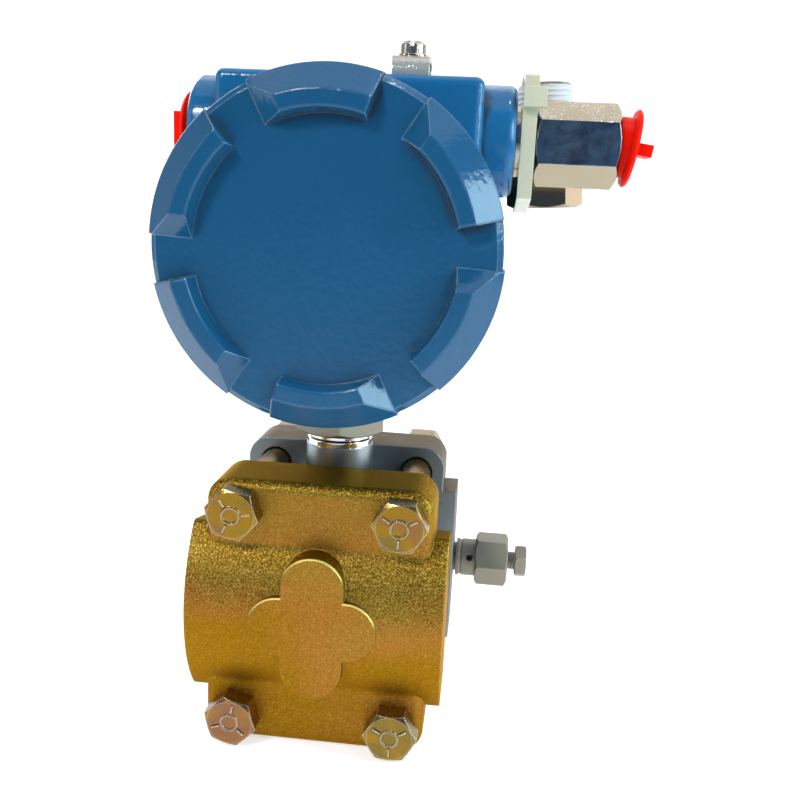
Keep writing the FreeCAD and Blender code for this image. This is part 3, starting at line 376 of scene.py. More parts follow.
class AirTree(FinishTree):
    """The shader of the room around the part."""

    def __init__(self, name: str) -> None:
        """Start the world.

        Args:
            name: What the world is called.
        """
        self.world = bpy.data.worlds.new(name)
        self.world.use_nodes = True
        self.nodes = self.world.node_tree.nodes
        self.links = self.world.node_tree.links
        self.shader = self.nodes["Background"]


@dataclass(frozen=True)
class Finish:
    """What every finish has: a name and the radius that its edges are rounded by."""

    name: str
    edge: float = 0.3 * MM

    def build(self) -> bpy.types.Material:
        """Make the material of this finish."""
        raise NotImplementedError


@dataclass(frozen=True)
class GlossPaint(Finish):
    """Thick glossy enamel on a casting, with orange peel and small chips, edges lightened by paint wear and
    a painted highlight, and painted shade in its hollows.
    """

    colour: Colour = (0.0125, 0.101, 0.21)
    deep: Colour = (0.0098, 0.084, 0.178)
    # The light blue of paint wear and of a painted highlight on edges.
    thin_paint_and_highlight: Colour = (0.3, 0.5, 0.66)
    primer: Colour = (0.5, 0.55, 0.58)
    # The deep blue of the painted shade in hollows.
    painted_shade_colour: Colour = (0.004, 0.014, 0.02)
    cloud: Grain = Grain(28.0, 4.0, 0.6)
    shade_side_x: float = 17.0
    shade_side_z: float = 28.0
    hollow_reach: float = 5.0 * MM
    hollow_slope: Slope = (0.86, -3.4)
    hollow_least: float = 0.25
    hollow_weight: float = 0.85
    hollow_rough: float = 0.4
    rim: float = 0.6 * MM
    rim_gain: float = 6.0
    chips: Grain = Grain(420.0, 3.0, 0.7)
    chip_level: float = 0.66
    chip_rough: float = 0.3
    rub_and_highlight: Grain = Grain(110.0, 3.0, 0.6)
    rub_and_highlight_gain: float = 2.4
    rub_and_highlight_loss: float = 0.4
    peel: Grain = Grain(520.0, 1.5, 0.4)
    peel_share: float = 0.6
    lumps: Grain = Grain(90.0)
    lump_share: float = 0.15
    peel_depth: float = 0.22 * MM
    peel_strength: float = 0.8
    roughness: float = 0.1
    haze: Grain = Grain(160.0, 3.0)
    haze_rough: float = 0.06
    gloss: float = 0.42

    def build(self) -> bpy.types.Material:
        """Make the enamel."""
        tree = FinishTree(self.name)
        # Painted shade: hollows are shaded deep blue, most of all right of and above the housing's axis.
        painted_shade_side = tree.clamp(
            tree.axis("X") * self.shade_side_x + (tree.axis("Z") - HOUSING_AXIS_Z) * self.shade_side_z
        )
        shut = tree.mask(tree.open_air(self.hollow_reach), self.hollow_slope)
        hollow = shut * (self.hollow_least + painted_shade_side * (1 - self.hollow_least))
        body = tree.blend(tree.noise(self.cloud), self.deep, self.colour)
        body = tree.blend(hollow * self.hollow_weight, body, self.painted_shade_colour)
        rim = tree.ridges(self.rim, self.rim_gain)
        wear_and_highlight = rim * (tree.noise(self.chips) > self.chip_level)
        # Lighter edges: paint wear and a painted highlight along the outer edges.
        rubbed_and_highlit = tree.clamp(rim * (tree.noise(self.rub_and_highlight) * self.rub_and_highlight_gain - self.rub_and_highlight_loss))
        colour = tree.blend(wear_and_highlight, tree.blend(rubbed_and_highlit, body, self.thin_paint_and_highlight), self.primer)
        height = tree.noise(self.peel) * self.peel_share + tree.noise(self.lumps) * self.lump_share
        normal = tree.relief(height, self.peel_depth, self.peel_strength, tree.round_normal(self.edge))
        rough = self.roughness + tree.noise(self.haze) * self.haze_rough
        rough = rough + wear_and_highlight * self.chip_rough + hollow * self.hollow_rough
        return tree.finish({"Specular IOR Level": self.gloss}, {
            "Base Color": colour, "Roughness": rough, "Normal": normal,
        })


@dataclass(frozen=True)
class ChromateCasting(Finish):
    """Blasted steel casting under yellow chromate: gold, olive and copper tints that drift at random and, as
    a painted reflection, turn with the way the surface faces; pitted grain with painted glints; a painted
    highlight along the pad's top rim; painted shade near the bottom.
    """

    gold: Colour = (0.35, 0.16, 0.005)
    olive: Colour = (0.37, 0.222, 0.03)
    copper: Colour = (0.43, 0.174, 0.026)
    glint: Colour = (0.95, 0.76, 0.2)
    pit: Colour = (0.11, 0.065, 0.006)
    brown: Colour = (0.12, 0.068, 0.003)
    # The brown of the painted shade towards the bottom.
    foot: Colour = (0.2, 0.085, 0.004)
    sheen: Colour = (0.95, 0.66, 0.16)
    tint_start: float = 0.29
    reflection_tint_facing: float = 0.42
    tint_rise: float = 2.6
    drift: Grain = Grain(24.0, 2.0, 0.5, 0.6)
    drift_weight: float = 0.42
    foot_shade_top: float = 30.0 * MM
    foot_shade_weight: float = 0.45
    grain: Grain = Grain(1700.0, 2.0, 0.7)
    grain_depth: float = 0.25 * MM
    grain_strength: float = 0.5
    pit_level: float = 0.55
    pit_gain: float = 2.4
    pit_gain_above: float = 9.0
    glint_slope: Slope = (0.56, 7.0)
    glint_least: float = 0.16
    glint_above: float = 0.95
    pad_slope: Slope = (-46.2 * MM, -1500.0)
    pad_rim_slope: Slope = (0.15, 4.0)
    rim: float = 1.0 * MM
    rim_gain: float = 3.0
    rim_weight: float = 0.5
    highlight_weight: float = 0.9
    top_slope: Slope = (5 / 6, 6.0)
    top_weight: float = 0.85
    roughness: float = 0.36
    grain_rough: float = 0.24
    metallic: float = 0.85
    gloss: float = 0.3

    def stops(self) -> Stops:
        """The tints in the order in which they follow one another over the casting."""
        return (
            (0.12, self.gold), (0.42, self.gold), (0.52, self.copper), (0.68, self.olive), (0.95, self.gold),
        )

    def build(self) -> bpy.types.Material:
        """Make the chromated casting."""
        tree = FinishTree(self.name)
        facing = tree.facing("Z")
        above = tree.clamp(facing)
        level = tree.axis("Z")
        # The tint drifts at random and with height and side; how it turns with the way the surface faces is
        # a painted reflection.
        turn = facing * self.reflection_tint_facing + self.tint_start + tree.noise(self.drift) * self.drift_weight
        tint = tree.ramp(turn + (level - FLANGE_AXIS_Z) * self.tint_rise + tree.axis("X"), self.stops())
        # Painted shade: the casting deepens to brown towards the bottom.
        low_shade = tree.mask(level, (self.foot_shade_top, -1 / self.foot_shade_top))
        tint = tree.blend(low_shade * self.foot_shade_weight, tint, self.foot)
        grain = tree.noise(self.grain)
        # Pits in the grain, deeper on faces that look up as painted shade; painted glints on the grain's
        # peaks, most on faces that look up.
        pit = tree.clamp((self.pit_level - grain) * (self.pit_gain + self.pit_gain_above * above))
        shade = tree.blend(pit, tint, self.pit)
        lit = tree.mask(grain, self.glint_slope) * (self.glint_least + self.glint_above * above)
        # Painted highlight along the pad's top rim and on outer edges.
        pad_rim_highlight = tree.mask(tree.axis("Y"), self.pad_slope) * tree.mask(facing, self.pad_rim_slope)
        wear_and_highlight = pad_rim_highlight + tree.ridges(self.rim, self.rim_gain) * self.rim_weight
        colour = tree.blend(tree.clamp(wear_and_highlight * self.highlight_weight + lit), shade, self.glint)
        colour = tree.blend(tree.mask(facing, self.top_slope) * self.top_weight, colour, self.brown)
        normal = tree.relief(grain, self.grain_depth, self.grain_strength, tree.round_normal(self.edge))
        constants = {
            "Metallic": self.metallic, "Specular IOR Level": self.gloss, "Specular Tint": self.sheen,
        }
        return tree.finish(constants, {
            "Base Color": colour, "Roughness": self.roughness + grain * self.grain_rough, "Normal": normal,
        })


@dataclass(frozen=True)
class BlastedSteel(Finish):
    """Bare steel casting with a fine blasted grain, with painted shade on the sides that look up and right.
    """

    colour: Colour = (0.31, 0.34, 0.345)
    stain: Colour = (0.2, 0.225, 0.23)
    # The colour of the painted shade on faces that look up and right.
    painted_side_shade: Colour = (0.075, 0.068, 0.054)
    bright: Colour = (0.6, 0.62, 0.62)
    sheen: Colour = (1.0, 0.84, 0.66)
    cloud: Grain = Grain(40.0, 4.0, 0.6)
    painted_light_mottle: Grain = Grain(120.0, 4.0, 0.6)
    side_shade_least: float = 0.55
    side_shade_spread: float = 0.8
    rim: float = 0.8 * MM
    rim_gain: float = 2.5
    rim_weight: float = 0.6
    grain: Grain = Grain(1300.0, 2.0, 0.6)
    grain_depth: float = 0.2 * MM
    grain_strength: float = 0.55
    roughness: float = 0.35
    grain_rough: float = 0.15
    metallic: float = 0.85

    def build(self) -> bpy.types.Material:
        """Make the blasted steel."""
        tree = FinishTree(self.name)
        grain = tree.noise(self.grain)
        # Painted shade on the faces that look up and right, mottled.
        painted_shade_side = tree.clamp(tree.clamp(tree.facing("Z")) + tree.clamp(tree.facing("X")))
        side_shade = painted_shade_side * (self.side_shade_least + tree.noise(self.painted_light_mottle) * self.side_shade_spread)
        colour = tree.blend(tree.noise(self.cloud), self.stain, self.colour)
        colour = tree.blend(side_shade, colour, self.painted_side_shade)
        colour = tree.blend(tree.ridges(self.rim, self.rim_gain) * self.rim_weight, colour, self.bright)
        normal = tree.relief(grain, self.grain_depth, self.grain_strength, tree.round_normal(self.edge))
        return tree.finish({"Metallic": self.metallic, "Specular Tint": self.sheen}, {
            "Base Color": colour, "Roughness": grain * self.grain_rough + self.roughness, "Normal": normal,
        })


class Lay(Enum):
    """The axis that the tool marks of a turned or brushed face run round."""

    ROUND_X = "X"
    ROUND_Y = "Y"
    ROUND_Z = "Z"


@dataclass(frozen=True)
class TurnedSteel(Finish):
    """Machined metal with fine tool marks along one axis and a faint stain; where set, a painted reflection
    on its front faces and painted glints on the faces that look up.
    """

    colour: Colour = (0.55, 0.52, 0.47)
    stain: Colour = (0.4, 0.37, 0.32)
    lay: Lay = Lay.ROUND_X
    roughness: float = 0.26
    mottle: float = 0.12
    # How many painted glints the faces that look up take.
    painted_glint: float = 0.0
    # How strongly faces that look to the front take a painted reflection.
    painted_front_reflection: float = 0.0
    metallic: float = 1.0
    polished: tuple[float, float] = (0.0, 0.0)
    rim_colour: Colour = (0.8, 0.78, 0.74)
    painted_glint_colour: Colour = (1.0, 0.98, 0.94)
    polished_colour: Colour = (0.86, 0.84, 0.8)
    polished_gain: float = 0.75
    reflection_stops: Stops = (
        (0.36, (0.2, 0.22, 0.25)), (0.5, (0.44, 0.45, 0.42)), (0.64, (0.44, 0.62, 0.68)),
    )
    painted_light_mottle: Grain = Grain(110.0, 5.0, 0.7, 0.8)
    reflection_slope: Slope = (-2 / 3, -3.0)
    cloud: Grain = Grain(60.0, 4.0, 0.6)
    fine: Grain = Grain(900.0, 2.0, 0.6)
    rim: float = 0.6 * MM
    rim_gain: float = 2.5
    rim_weight: float = 0.5
    glint_spot_scale: float = 1150.0
    glint_spot_size: float = 0.2
    glint_spot_spread: Grain = Grain(160.0)
    glint_spot_level: float = 0.42
    glint_spot_rim: float = 0.3
    glint_spot_slope: Slope = (-0.125, 2.0)
    mark_scale: float = 2600.0
    mark_share: float = 0.6
    mark_depth: float = 0.03 * MM
    mark_strength: float = 0.5

    def build(self) -> bpy.types.Material:
        """Make the metal, with a painted reflection in front, painted glints above and bright in its
        polished band.
        """
        tree = FinishTree(self.name)
        cloud = tree.noise(self.cloud)
        wear_and_highlight = tree.edges(self.rim, self.rim_gain)
        colour = tree.blend(cloud, self.stain, self.colour)
        colour = tree.blend(wear_and_highlight * self.rim_weight, colour, self.rim_colour)
        # Painted reflection: faces that look to the front take mottled cold tones.
        painted_light_mottle = tree.ramp(tree.noise(self.painted_light_mottle), self.reflection_stops)
        front = tree.mask(tree.facing("Y"), self.reflection_slope)
        colour = tree.blend(front * self.painted_front_reflection, colour, painted_light_mottle)
        # Painted glints: white spots on faces that look up, more along edges.
        strewn = tree.noise(self.glint_spot_spread) + wear_and_highlight * self.glint_spot_rim > self.glint_spot_level
        glint_spot = (tree.cells(self.glint_spot_scale) < self.glint_spot_size) * strewn
        painted_glints = glint_spot * tree.mask(tree.facing("Z"), self.glint_spot_slope) * self.painted_glint
        colour = tree.blend(painted_glints, colour, self.painted_glint_colour)
        level = tree.axis("Z")
        band = (level > self.polished[0]) * (level < self.polished[1])
        colour = tree.blend(band, colour, self.polished_colour)
        marks = tree.marks(self.lay.value, self.mark_scale)
        height = marks * self.mark_share + tree.noise(self.fine) * (1 - self.mark_share)
        normal = tree.relief(height, self.mark_depth, self.mark_strength, tree.round_normal(self.edge))
        rough = tree.clamp(self.roughness + (cloud - 0.5) * self.mottle) * (1 - band * self.polished_gain)
        return tree.finish({"Metallic": self.metallic}, {
            "Base Color": colour, "Roughness": rough, "Normal": normal,
        })


@dataclass(frozen=True)
class FoldedZinc(Finish):
    """Bright zinc on a folded strip: a crowned front with small dents, a painted reflection along its top
    and painted shade at its foot.
    """

    colour: Colour = (0.79, 0.756, 0.62)
    # The beige of the painted reflection along the top.
    painted_upper_reflection: Colour = (0.66, 0.55, 0.46)
    # The colour of the painted shade at the foot.
    painted_foot_colour: Colour = (0.08, 0.085, 0.09)
    top: float = 230.4 * MM
    crown: float = 190.0
    lean: float = 0.85
    dents: Grain = Grain(900.0, 2.0, 0.6)
    dent_depth: float = 0.16 * MM
    upper_slope: Slope = (2.5 * MM, -400.0)
    upper_rough: float = 0.2
    foot_shade_slope: Slope = (5.5 * MM, 900.0)
    foot_shade_weight: float = 0.8
    roughness: float = 0.16
    metallic: float = 0.6

    def build(self) -> bpy.types.Material:
        """Make the folded strip."""
        tree = FinishTree(self.name)
        below = self.top - tree.axis("Z")
        arch = below * self.lean - below * below * (self.crown / 2)
        # Painted reflection along the top of the strip and painted shade at its foot.
        upper_reflection = tree.mask(below, self.upper_slope)
        foot = tree.mask(below, self.foot_shade_slope)
        colour = tree.blend(upper_reflection, self.colour, self.painted_upper_reflection)
        colour = tree.blend(foot * self.foot_shade_weight, colour, self.painted_foot_colour)
        height = arch + tree.noise(self.dents) * self.dent_depth
        normal = tree.relief(height, 1.0, 1.0, tree.round_normal(self.edge))
        return tree.finish({"Metallic": self.metallic}, {
            "Base Color": colour, "Roughness": self.roughness + upper_reflection * self.upper_rough, "Normal": normal,
        })


@dataclass(frozen=True)
class ZincChromate(Finish):
    """Yellow zinc on bolts and nuts, with pink and green tints that drift from one to the next."""

    yellow: Colour = (0.33, 0.178, 0.014)
    pink: Colour = (0.245, 0.11, 0.06)
    green: Colour = (0.215, 0.142, 0.032)
    rim_colour: Colour = (0.88, 0.85, 0.76)
    tint_start: float = 0.29
    drift: Grain = Grain(60.0, 1.5, 0.4, 1.0)
    drift_weight: float = 0.34
    tint_side: float = 0.047
    tint_rise: float = 0.012
    tint_corner: float = 0.032
    rim: float = 0.8 * MM
    rim_gain: float = 4.5
    rim_weight: float = 0.85
    fine: Grain = Grain(1100.0, 2.0, 0.6)
    fine_depth: float = 0.05 * MM
    fine_strength: float = 0.4
    fine_rough: float = 0.14
    roughness: float = 0.2
    metallic: float = 0.95

    def stops(self) -> Stops:
        """The tints in the order in which they follow one another."""
        return (0.38, self.green), (0.46, self.yellow), (0.56, self.pink), (0.66, self.yellow)

    def build(self) -> bpy.types.Material:
        """Make the plating."""
        tree = FinishTree(self.name)
        side = tree.axis("X") * (2 / BOLT_SPAN_X)
        rise = (tree.axis("Z") - FLANGE_AXIS_Z) * (2 / BOLT_SPAN_Z)
        turn = self.tint_start + tree.noise(self.drift) * self.drift_weight
        turn = turn - side * self.tint_side - rise * self.tint_rise + side * rise * self.tint_corner
        # Lighter outer edges: plating wear and a painted highlight.
        wear_and_highlight = tree.ridges(self.rim, self.rim_gain) * self.rim_weight
        colour = tree.blend(wear_and_highlight, tree.ramp(turn, self.stops()), self.rim_colour)
        fine = tree.noise(self.fine)
        normal = tree.relief(fine, self.fine_depth, self.fine_strength, tree.round_normal(self.edge))
        return tree.finish({"Metallic": self.metallic}, {
            "Base Color": colour, "Roughness": self.roughness + fine * self.fine_rough, "Normal": normal,
        })


@dataclass(frozen=True)
class Moulding(Finish):
    """Moulded plastic or rubber with a soft surface grain, with painted shade where it is hollow and, where
    set, a painted glow.
    """

    colour: Colour = (0.93, 0.01, 0.001)
    shade: Colour = (0.82, 0.007, 0.001)
    roughness: float = 0.4
    gloss: float = 0.3
    # Strength of a painted glow in the moulding's own colour.
    painted_glow: float = 0.0
    glow: float = 0.0
    glow_scale: float = 1.5 * MM
    # How strong the painted shade in hollows is.
    depth: float = 0.0
    # The colour of the painted shade in hollows.
    inner: Colour = (0.3, 0.004, 0.001)
    hollow_shade_reach: float = 5.0 * MM
    hollow_shade_slope: Slope = (0.95, -2.0)
    rim_colour: Colour = (0.9, 0.88, 0.66)
    rim: float = 0.9 * MM
    rim_gain: float = 4.0
    rim_weight: float = 0.0
    cloud: Grain = Grain(140.0, 3.0, 0.6)
    fine: Grain = Grain(1200.0, 2.0, 0.6)
    fine_depth: float = 0.05 * MM
    fine_strength: float = 0.35
    fine_rough: float = 0.16

    def build(self) -> bpy.types.Material:
        """Make the moulding, with the light that its slim walls let through, and a painted glow in its own
        colour.
        """
        tree = FinishTree(self.name)
        fine = tree.noise(self.fine)
        colour = tree.blend(tree.noise(self.cloud), self.shade, self.colour)
        colour = tree.blend(tree.edges(self.rim, self.rim_gain) * self.rim_weight, colour, self.rim_colour)
        # Painted shade in the hollows.
        hollow = tree.mask(tree.open_air(self.hollow_shade_reach), self.hollow_shade_slope) * self.depth
        colour = tree.blend(hollow, colour, self.inner)
        normal = tree.relief(fine, self.fine_depth, self.fine_strength, tree.round_normal(self.edge))
        # The emission is a painted glow in the moulding's own colour.
        constants = {
            "Subsurface Weight": self.glow, "Subsurface Scale": self.glow_scale,
            "Specular IOR Level": self.gloss, "Emission Color": self.colour, "Emission Strength": self.painted_glow,
        }
        rough = (fine - 0.5) * self.fine_rough + self.roughness
        return tree.finish(constants, {"Base Color": colour, "Roughness": rough, "Normal": normal})


@dataclass(frozen=True)
class Backdrop(Finish):
    """Plain pale studio paper, lit through from behind and dimmer in front of the part."""

    colour: Colour = (0.86, 0.86, 0.86)
    fibre_colour: Colour = (0.8, 0.8, 0.8)
    fibre: Grain = Grain(300.0)
    fibre_weight: float = 0.05
    lit: Colour = (1.0, 0.99, 0.96)
    dim: Colour = (0.1, 0.1, 0.1)
    fade: tuple[float, float] = (-0.45, -0.1)
    glow: float = 0.56
    roughness: float = 0.9
    gloss: float = 0.1

    def build(self) -> bpy.types.Material:
        """Make the paper."""
        tree = FinishTree(self.name)
        colour = tree.blend(tree.noise(self.fibre) * self.fibre_weight, self.colour, self.fibre_colour)
        front, back = self.fade
        light = tree.blend(tree.mask(tree.axis("Y"), (front, 1 / (back - front))), self.dim, self.lit)
        constants = {
            "Roughness": self.roughness, "Specular IOR Level": self.gloss, "Emission Strength": self.glow,
        }
        return tree.finish(constants, {"Base Color": colour, "Emission Color": light})


FINISHES: dict[str, Finish] = {
    "blue_paint": GlossPaint("blue_enamel", 0.9 * MM),
    "gold_casting": ChromateCasting("gold_chromate_casting", 0.9 * MM),
    "grey_casting": BlastedSteel("grey_blasted_steel", 0.8 * MM),
    "cell_steel": TurnedSteel(
        "neck_steel", 0.3 * MM, (0.46, 0.52, 0.54), (0.33, 0.37, 0.39), Lay.ROUND_Z,
        roughness=0.36, polished=(98.5 * MM, 103.2 * MM),
    ),
    "diaphragm_foil": TurnedSteel("diaphragm_foil", 0.1 * MM, (0.7, 0.7, 0.7), (0.6, 0.6, 0.6)),
    "yellow_zinc": ZincChromate("yellow_zinc", 0.15 * MM),
    "nut_steel": TurnedSteel(
        "lock_nut_steel", 0.4 * MM, (0.315, 0.285, 0.21), (0.23, 0.21, 0.155), Lay.ROUND_Z,
    ),
    "valve_steel": TurnedSteel(
        "valve_steel", 0.3 * MM, (0.38, 0.33, 0.235), (0.23, 0.205, 0.148),
        roughness=0.5, mottle=0.3, metallic=0.55,
    ),
    # The nickel takes painted glints above and a painted reflection in front.
    "nickel_plate": TurnedSteel(
        "nickel_plate", 0.5 * MM, (0.405, 0.335, 0.228), (0.36, 0.292, 0.195),
        roughness=0.15, mottle=0.5, painted_glint=0.9, painted_front_reflection=0.9,
    ),
    "bright_zinc": TurnedSteel(
        "bright_zinc", 0.3 * MM, (0.5, 0.45, 0.34), (0.39, 0.35, 0.26), Lay.ROUND_Z, roughness=0.24,
    ),
    "standoff_brass": TurnedSteel(
        "standoff_brass", 0.2 * MM, (0.6, 0.44, 0.18), (0.5, 0.35, 0.13), Lay.ROUND_Y,
    ),
    "seal_rubber": Moulding("seal_rubber", 0.1 * MM, (0.02, 0.02, 0.021), (0.012, 0.012, 0.012), 0.55),
    "gasket_polymer": Moulding("gasket_polymer", 0.1 * MM, (0.78, 0.77, 0.74), (0.7, 0.69, 0.66), 0.45),
    "board_laminate": Moulding("board_laminate", 0.1 * MM, (0.025, 0.17, 0.07), (0.018, 0.13, 0.05), 0.35),
    "terminal_moulding": Moulding(
        "terminal_moulding", 0.3 * MM, (0.03, 0.03, 0.033), (0.02, 0.02, 0.022), 0.4,
    ),
    # The plugs take painted shade in their hollows and a faint painted glow.
    "plug_plastic": Moulding("plug_plastic", 0.5 * MM, gloss=0.06, painted_glow=0.16, depth=0.55),
    "tie_nylon": Moulding(
        "tie_nylon", 0.3 * MM, (0.76, 0.73, 0.51), (0.68, 0.66, 0.45), 0.32, glow=0.3, rim_weight=0.7,
    ),
}


NODE_FINISHES: dict[str, Finish] = {
    "housing": GlossPaint("housing_enamel", 0.9 * MM, (0.014, 0.154, 0.336), (0.011, 0.129, 0.287)),
    # The spare plug's nickel is a darker copy of the adapter's nickel: painted shade.
    "spare_plug": TurnedSteel(
        "spare_plug_shaded_nickel", 0.5 * MM, (0.3, 0.23, 0.145), (0.25, 0.19, 0.12), roughness=0.18,
    ),
    "earth_clamp": FoldedZinc("folded_zinc", 0.4 * MM),
}


class Wardrobe:
    """Builds each finish once and dresses the solids and the added pieces with it."""

    def __init__(self, finishes: dict[str, Finish], node_finishes: dict[str, Finish]) -> None:
        """Build the materials.

        Args:
            finishes: Finish by the record's slot name.
            node_finishes: Finish of a single solid, by its name, in place of its slot's.
        """
        self.materials = {slot: finish.build() for slot, finish in finishes.items()}
        self.own = {node: finish.build() for node, finish in node_finishes.items()}

    @staticmethod
    def _shade(piece: bpy.types.Object, material: bpy.types.Material) -> None:
        """Give a piece one material and soft shading with crisp corners.

        Args:
            piece: The piece.
            material: Its only material.
        """
        piece.data.materials.clear()
        piece.data.materials.append(material)
        piece.data.shade_smooth()
        piece.data.set_sharp_from_angle(angle=CREASE)

    def dress_nodes(self, nodes: dict[str, bpy.types.Object], record: dict[str, Any]) -> None:
        """Give each solid its own material or its slot's.

        Args:
            nodes: The solids by name.
            record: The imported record.
        """
        slots = {entry["node"]: entry["material_slot"] for entry in record["subparts"]}
        for name, solid in nodes.items():
            material = self.own.get(name, self.materials[slots[name]])
            self._shade(solid, material)
            log.info("dressed %s in %s", name, material.name)

    def dress_piece(self, piece: bpy.types.Object, slot: str, body: str) -> None:
        """Dress a piece of the scene and let it ride on a body.

        Args:
            piece: The piece.
            slot: The record's slot that its finish comes from.
            body: The body it rides on.
        """
        self._shade(piece, self.materials[slot])
        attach(piece, body)
        log.info("added %s on %s", piece.name, body)


def new_piece(name: str, mesh: bmesh.types.BMesh) -> bpy.types.Object:
    """Turn a finished mesh into an object of the scene.

    Args:
        name: The piece's name.
        mesh: The mesh, which is freed.

    Returns:
        The object.
    """
    bmesh.ops.recalc_face_normals(mesh, faces=mesh.faces)
    data = bpy.data.meshes.new(name)
    mesh.to_mesh(data)
    mesh.free()
    piece = bpy.data.objects.new(name, data)
    bpy.context.scene.collection.objects.link(piece)
    return piece


def loft(mesh: bmesh.types.BMesh, rings: Iterable[Sequence[Vector]], closed: bool = False) -> None:
    """Skin a row of rings, with a cap at each end unless the row closes on itself.

    Args:
        mesh: The mesh to add to.
        rings: Rings of as many points each.
        closed: Whether the last ring joins the first.
    """
    rows = [[mesh.verts.new(point) for point in ring] for ring in rings]
    for near, far in zip(rows, rows[1:] + rows[:1] if closed else rows[1:]):
        for index in range(len(near)):
            after = (index + 1) % len(near)
            mesh.faces.new((near[index], near[after], far[after], far[index]))
    if not closed:
        mesh.faces.new(list(reversed(rows[0])))
        mesh.faces.new(rows[-1])


def turned(axis: str, degrees: float) -> Matrix:
    """A turn about one axis."""
    return Matrix.Rotation(math.radians(degrees), 4, axis)


def round_point(radius: float, angle: float, level: float) -> Vector:
    """A point at that radius, angle and height about Z."""
    return Vector((radius * math.cos(angle), radius * math.sin(angle), level))


@dataclass
class Thread:
    """A screw thread's ridge, wound about an axis; its flank and land are shares of the pitch."""

    place: Matrix
    root: float
    crest: float
    pitch: float
    length: float
    steps: int = 40
    flank: float = 0.46
    land: float = 0.08
    sink: float = 0.15 * MM
    run_out: float = 1 / 3

    def wind(self, mesh: bmesh.types.BMesh) -> None:
        """Add the ridge, which rises from the root at both ends.

        Args:
            mesh: The mesh to add to.
        """
        turns = self.length / self.pitch - 1
        count = int(turns * self.steps)
        run_out = self.steps * self.run_out
        half, flat = self.pitch * self.flank, self.pitch * self.land
        inner = self.root - self.sink
        rings = []
        for step in range(count + 1):
            angle = 2 * math.pi * step / self.steps
            level = self.pitch * (0.5 + step / self.steps)
            ease = min(1.0, step / run_out, (count - step) / run_out)
            crest = self.root + (self.crest - self.root) * ease
            profile = ((inner, -half), (crest, -flat), (crest, flat), (inner, half))
            rings.append([self.place @ round_point(radius, angle, level + rise) for radius, rise in profile])
        loft(mesh, rings)

    def build(self, name: str) -> bpy.types.Object:
        """Make the ridge as a piece of its own.

        Args:
            name: The piece's name.

        Returns:
            The piece.
        """
        mesh = bmesh.new()
        self.wind(mesh)
        return new_piece(name, mesh)


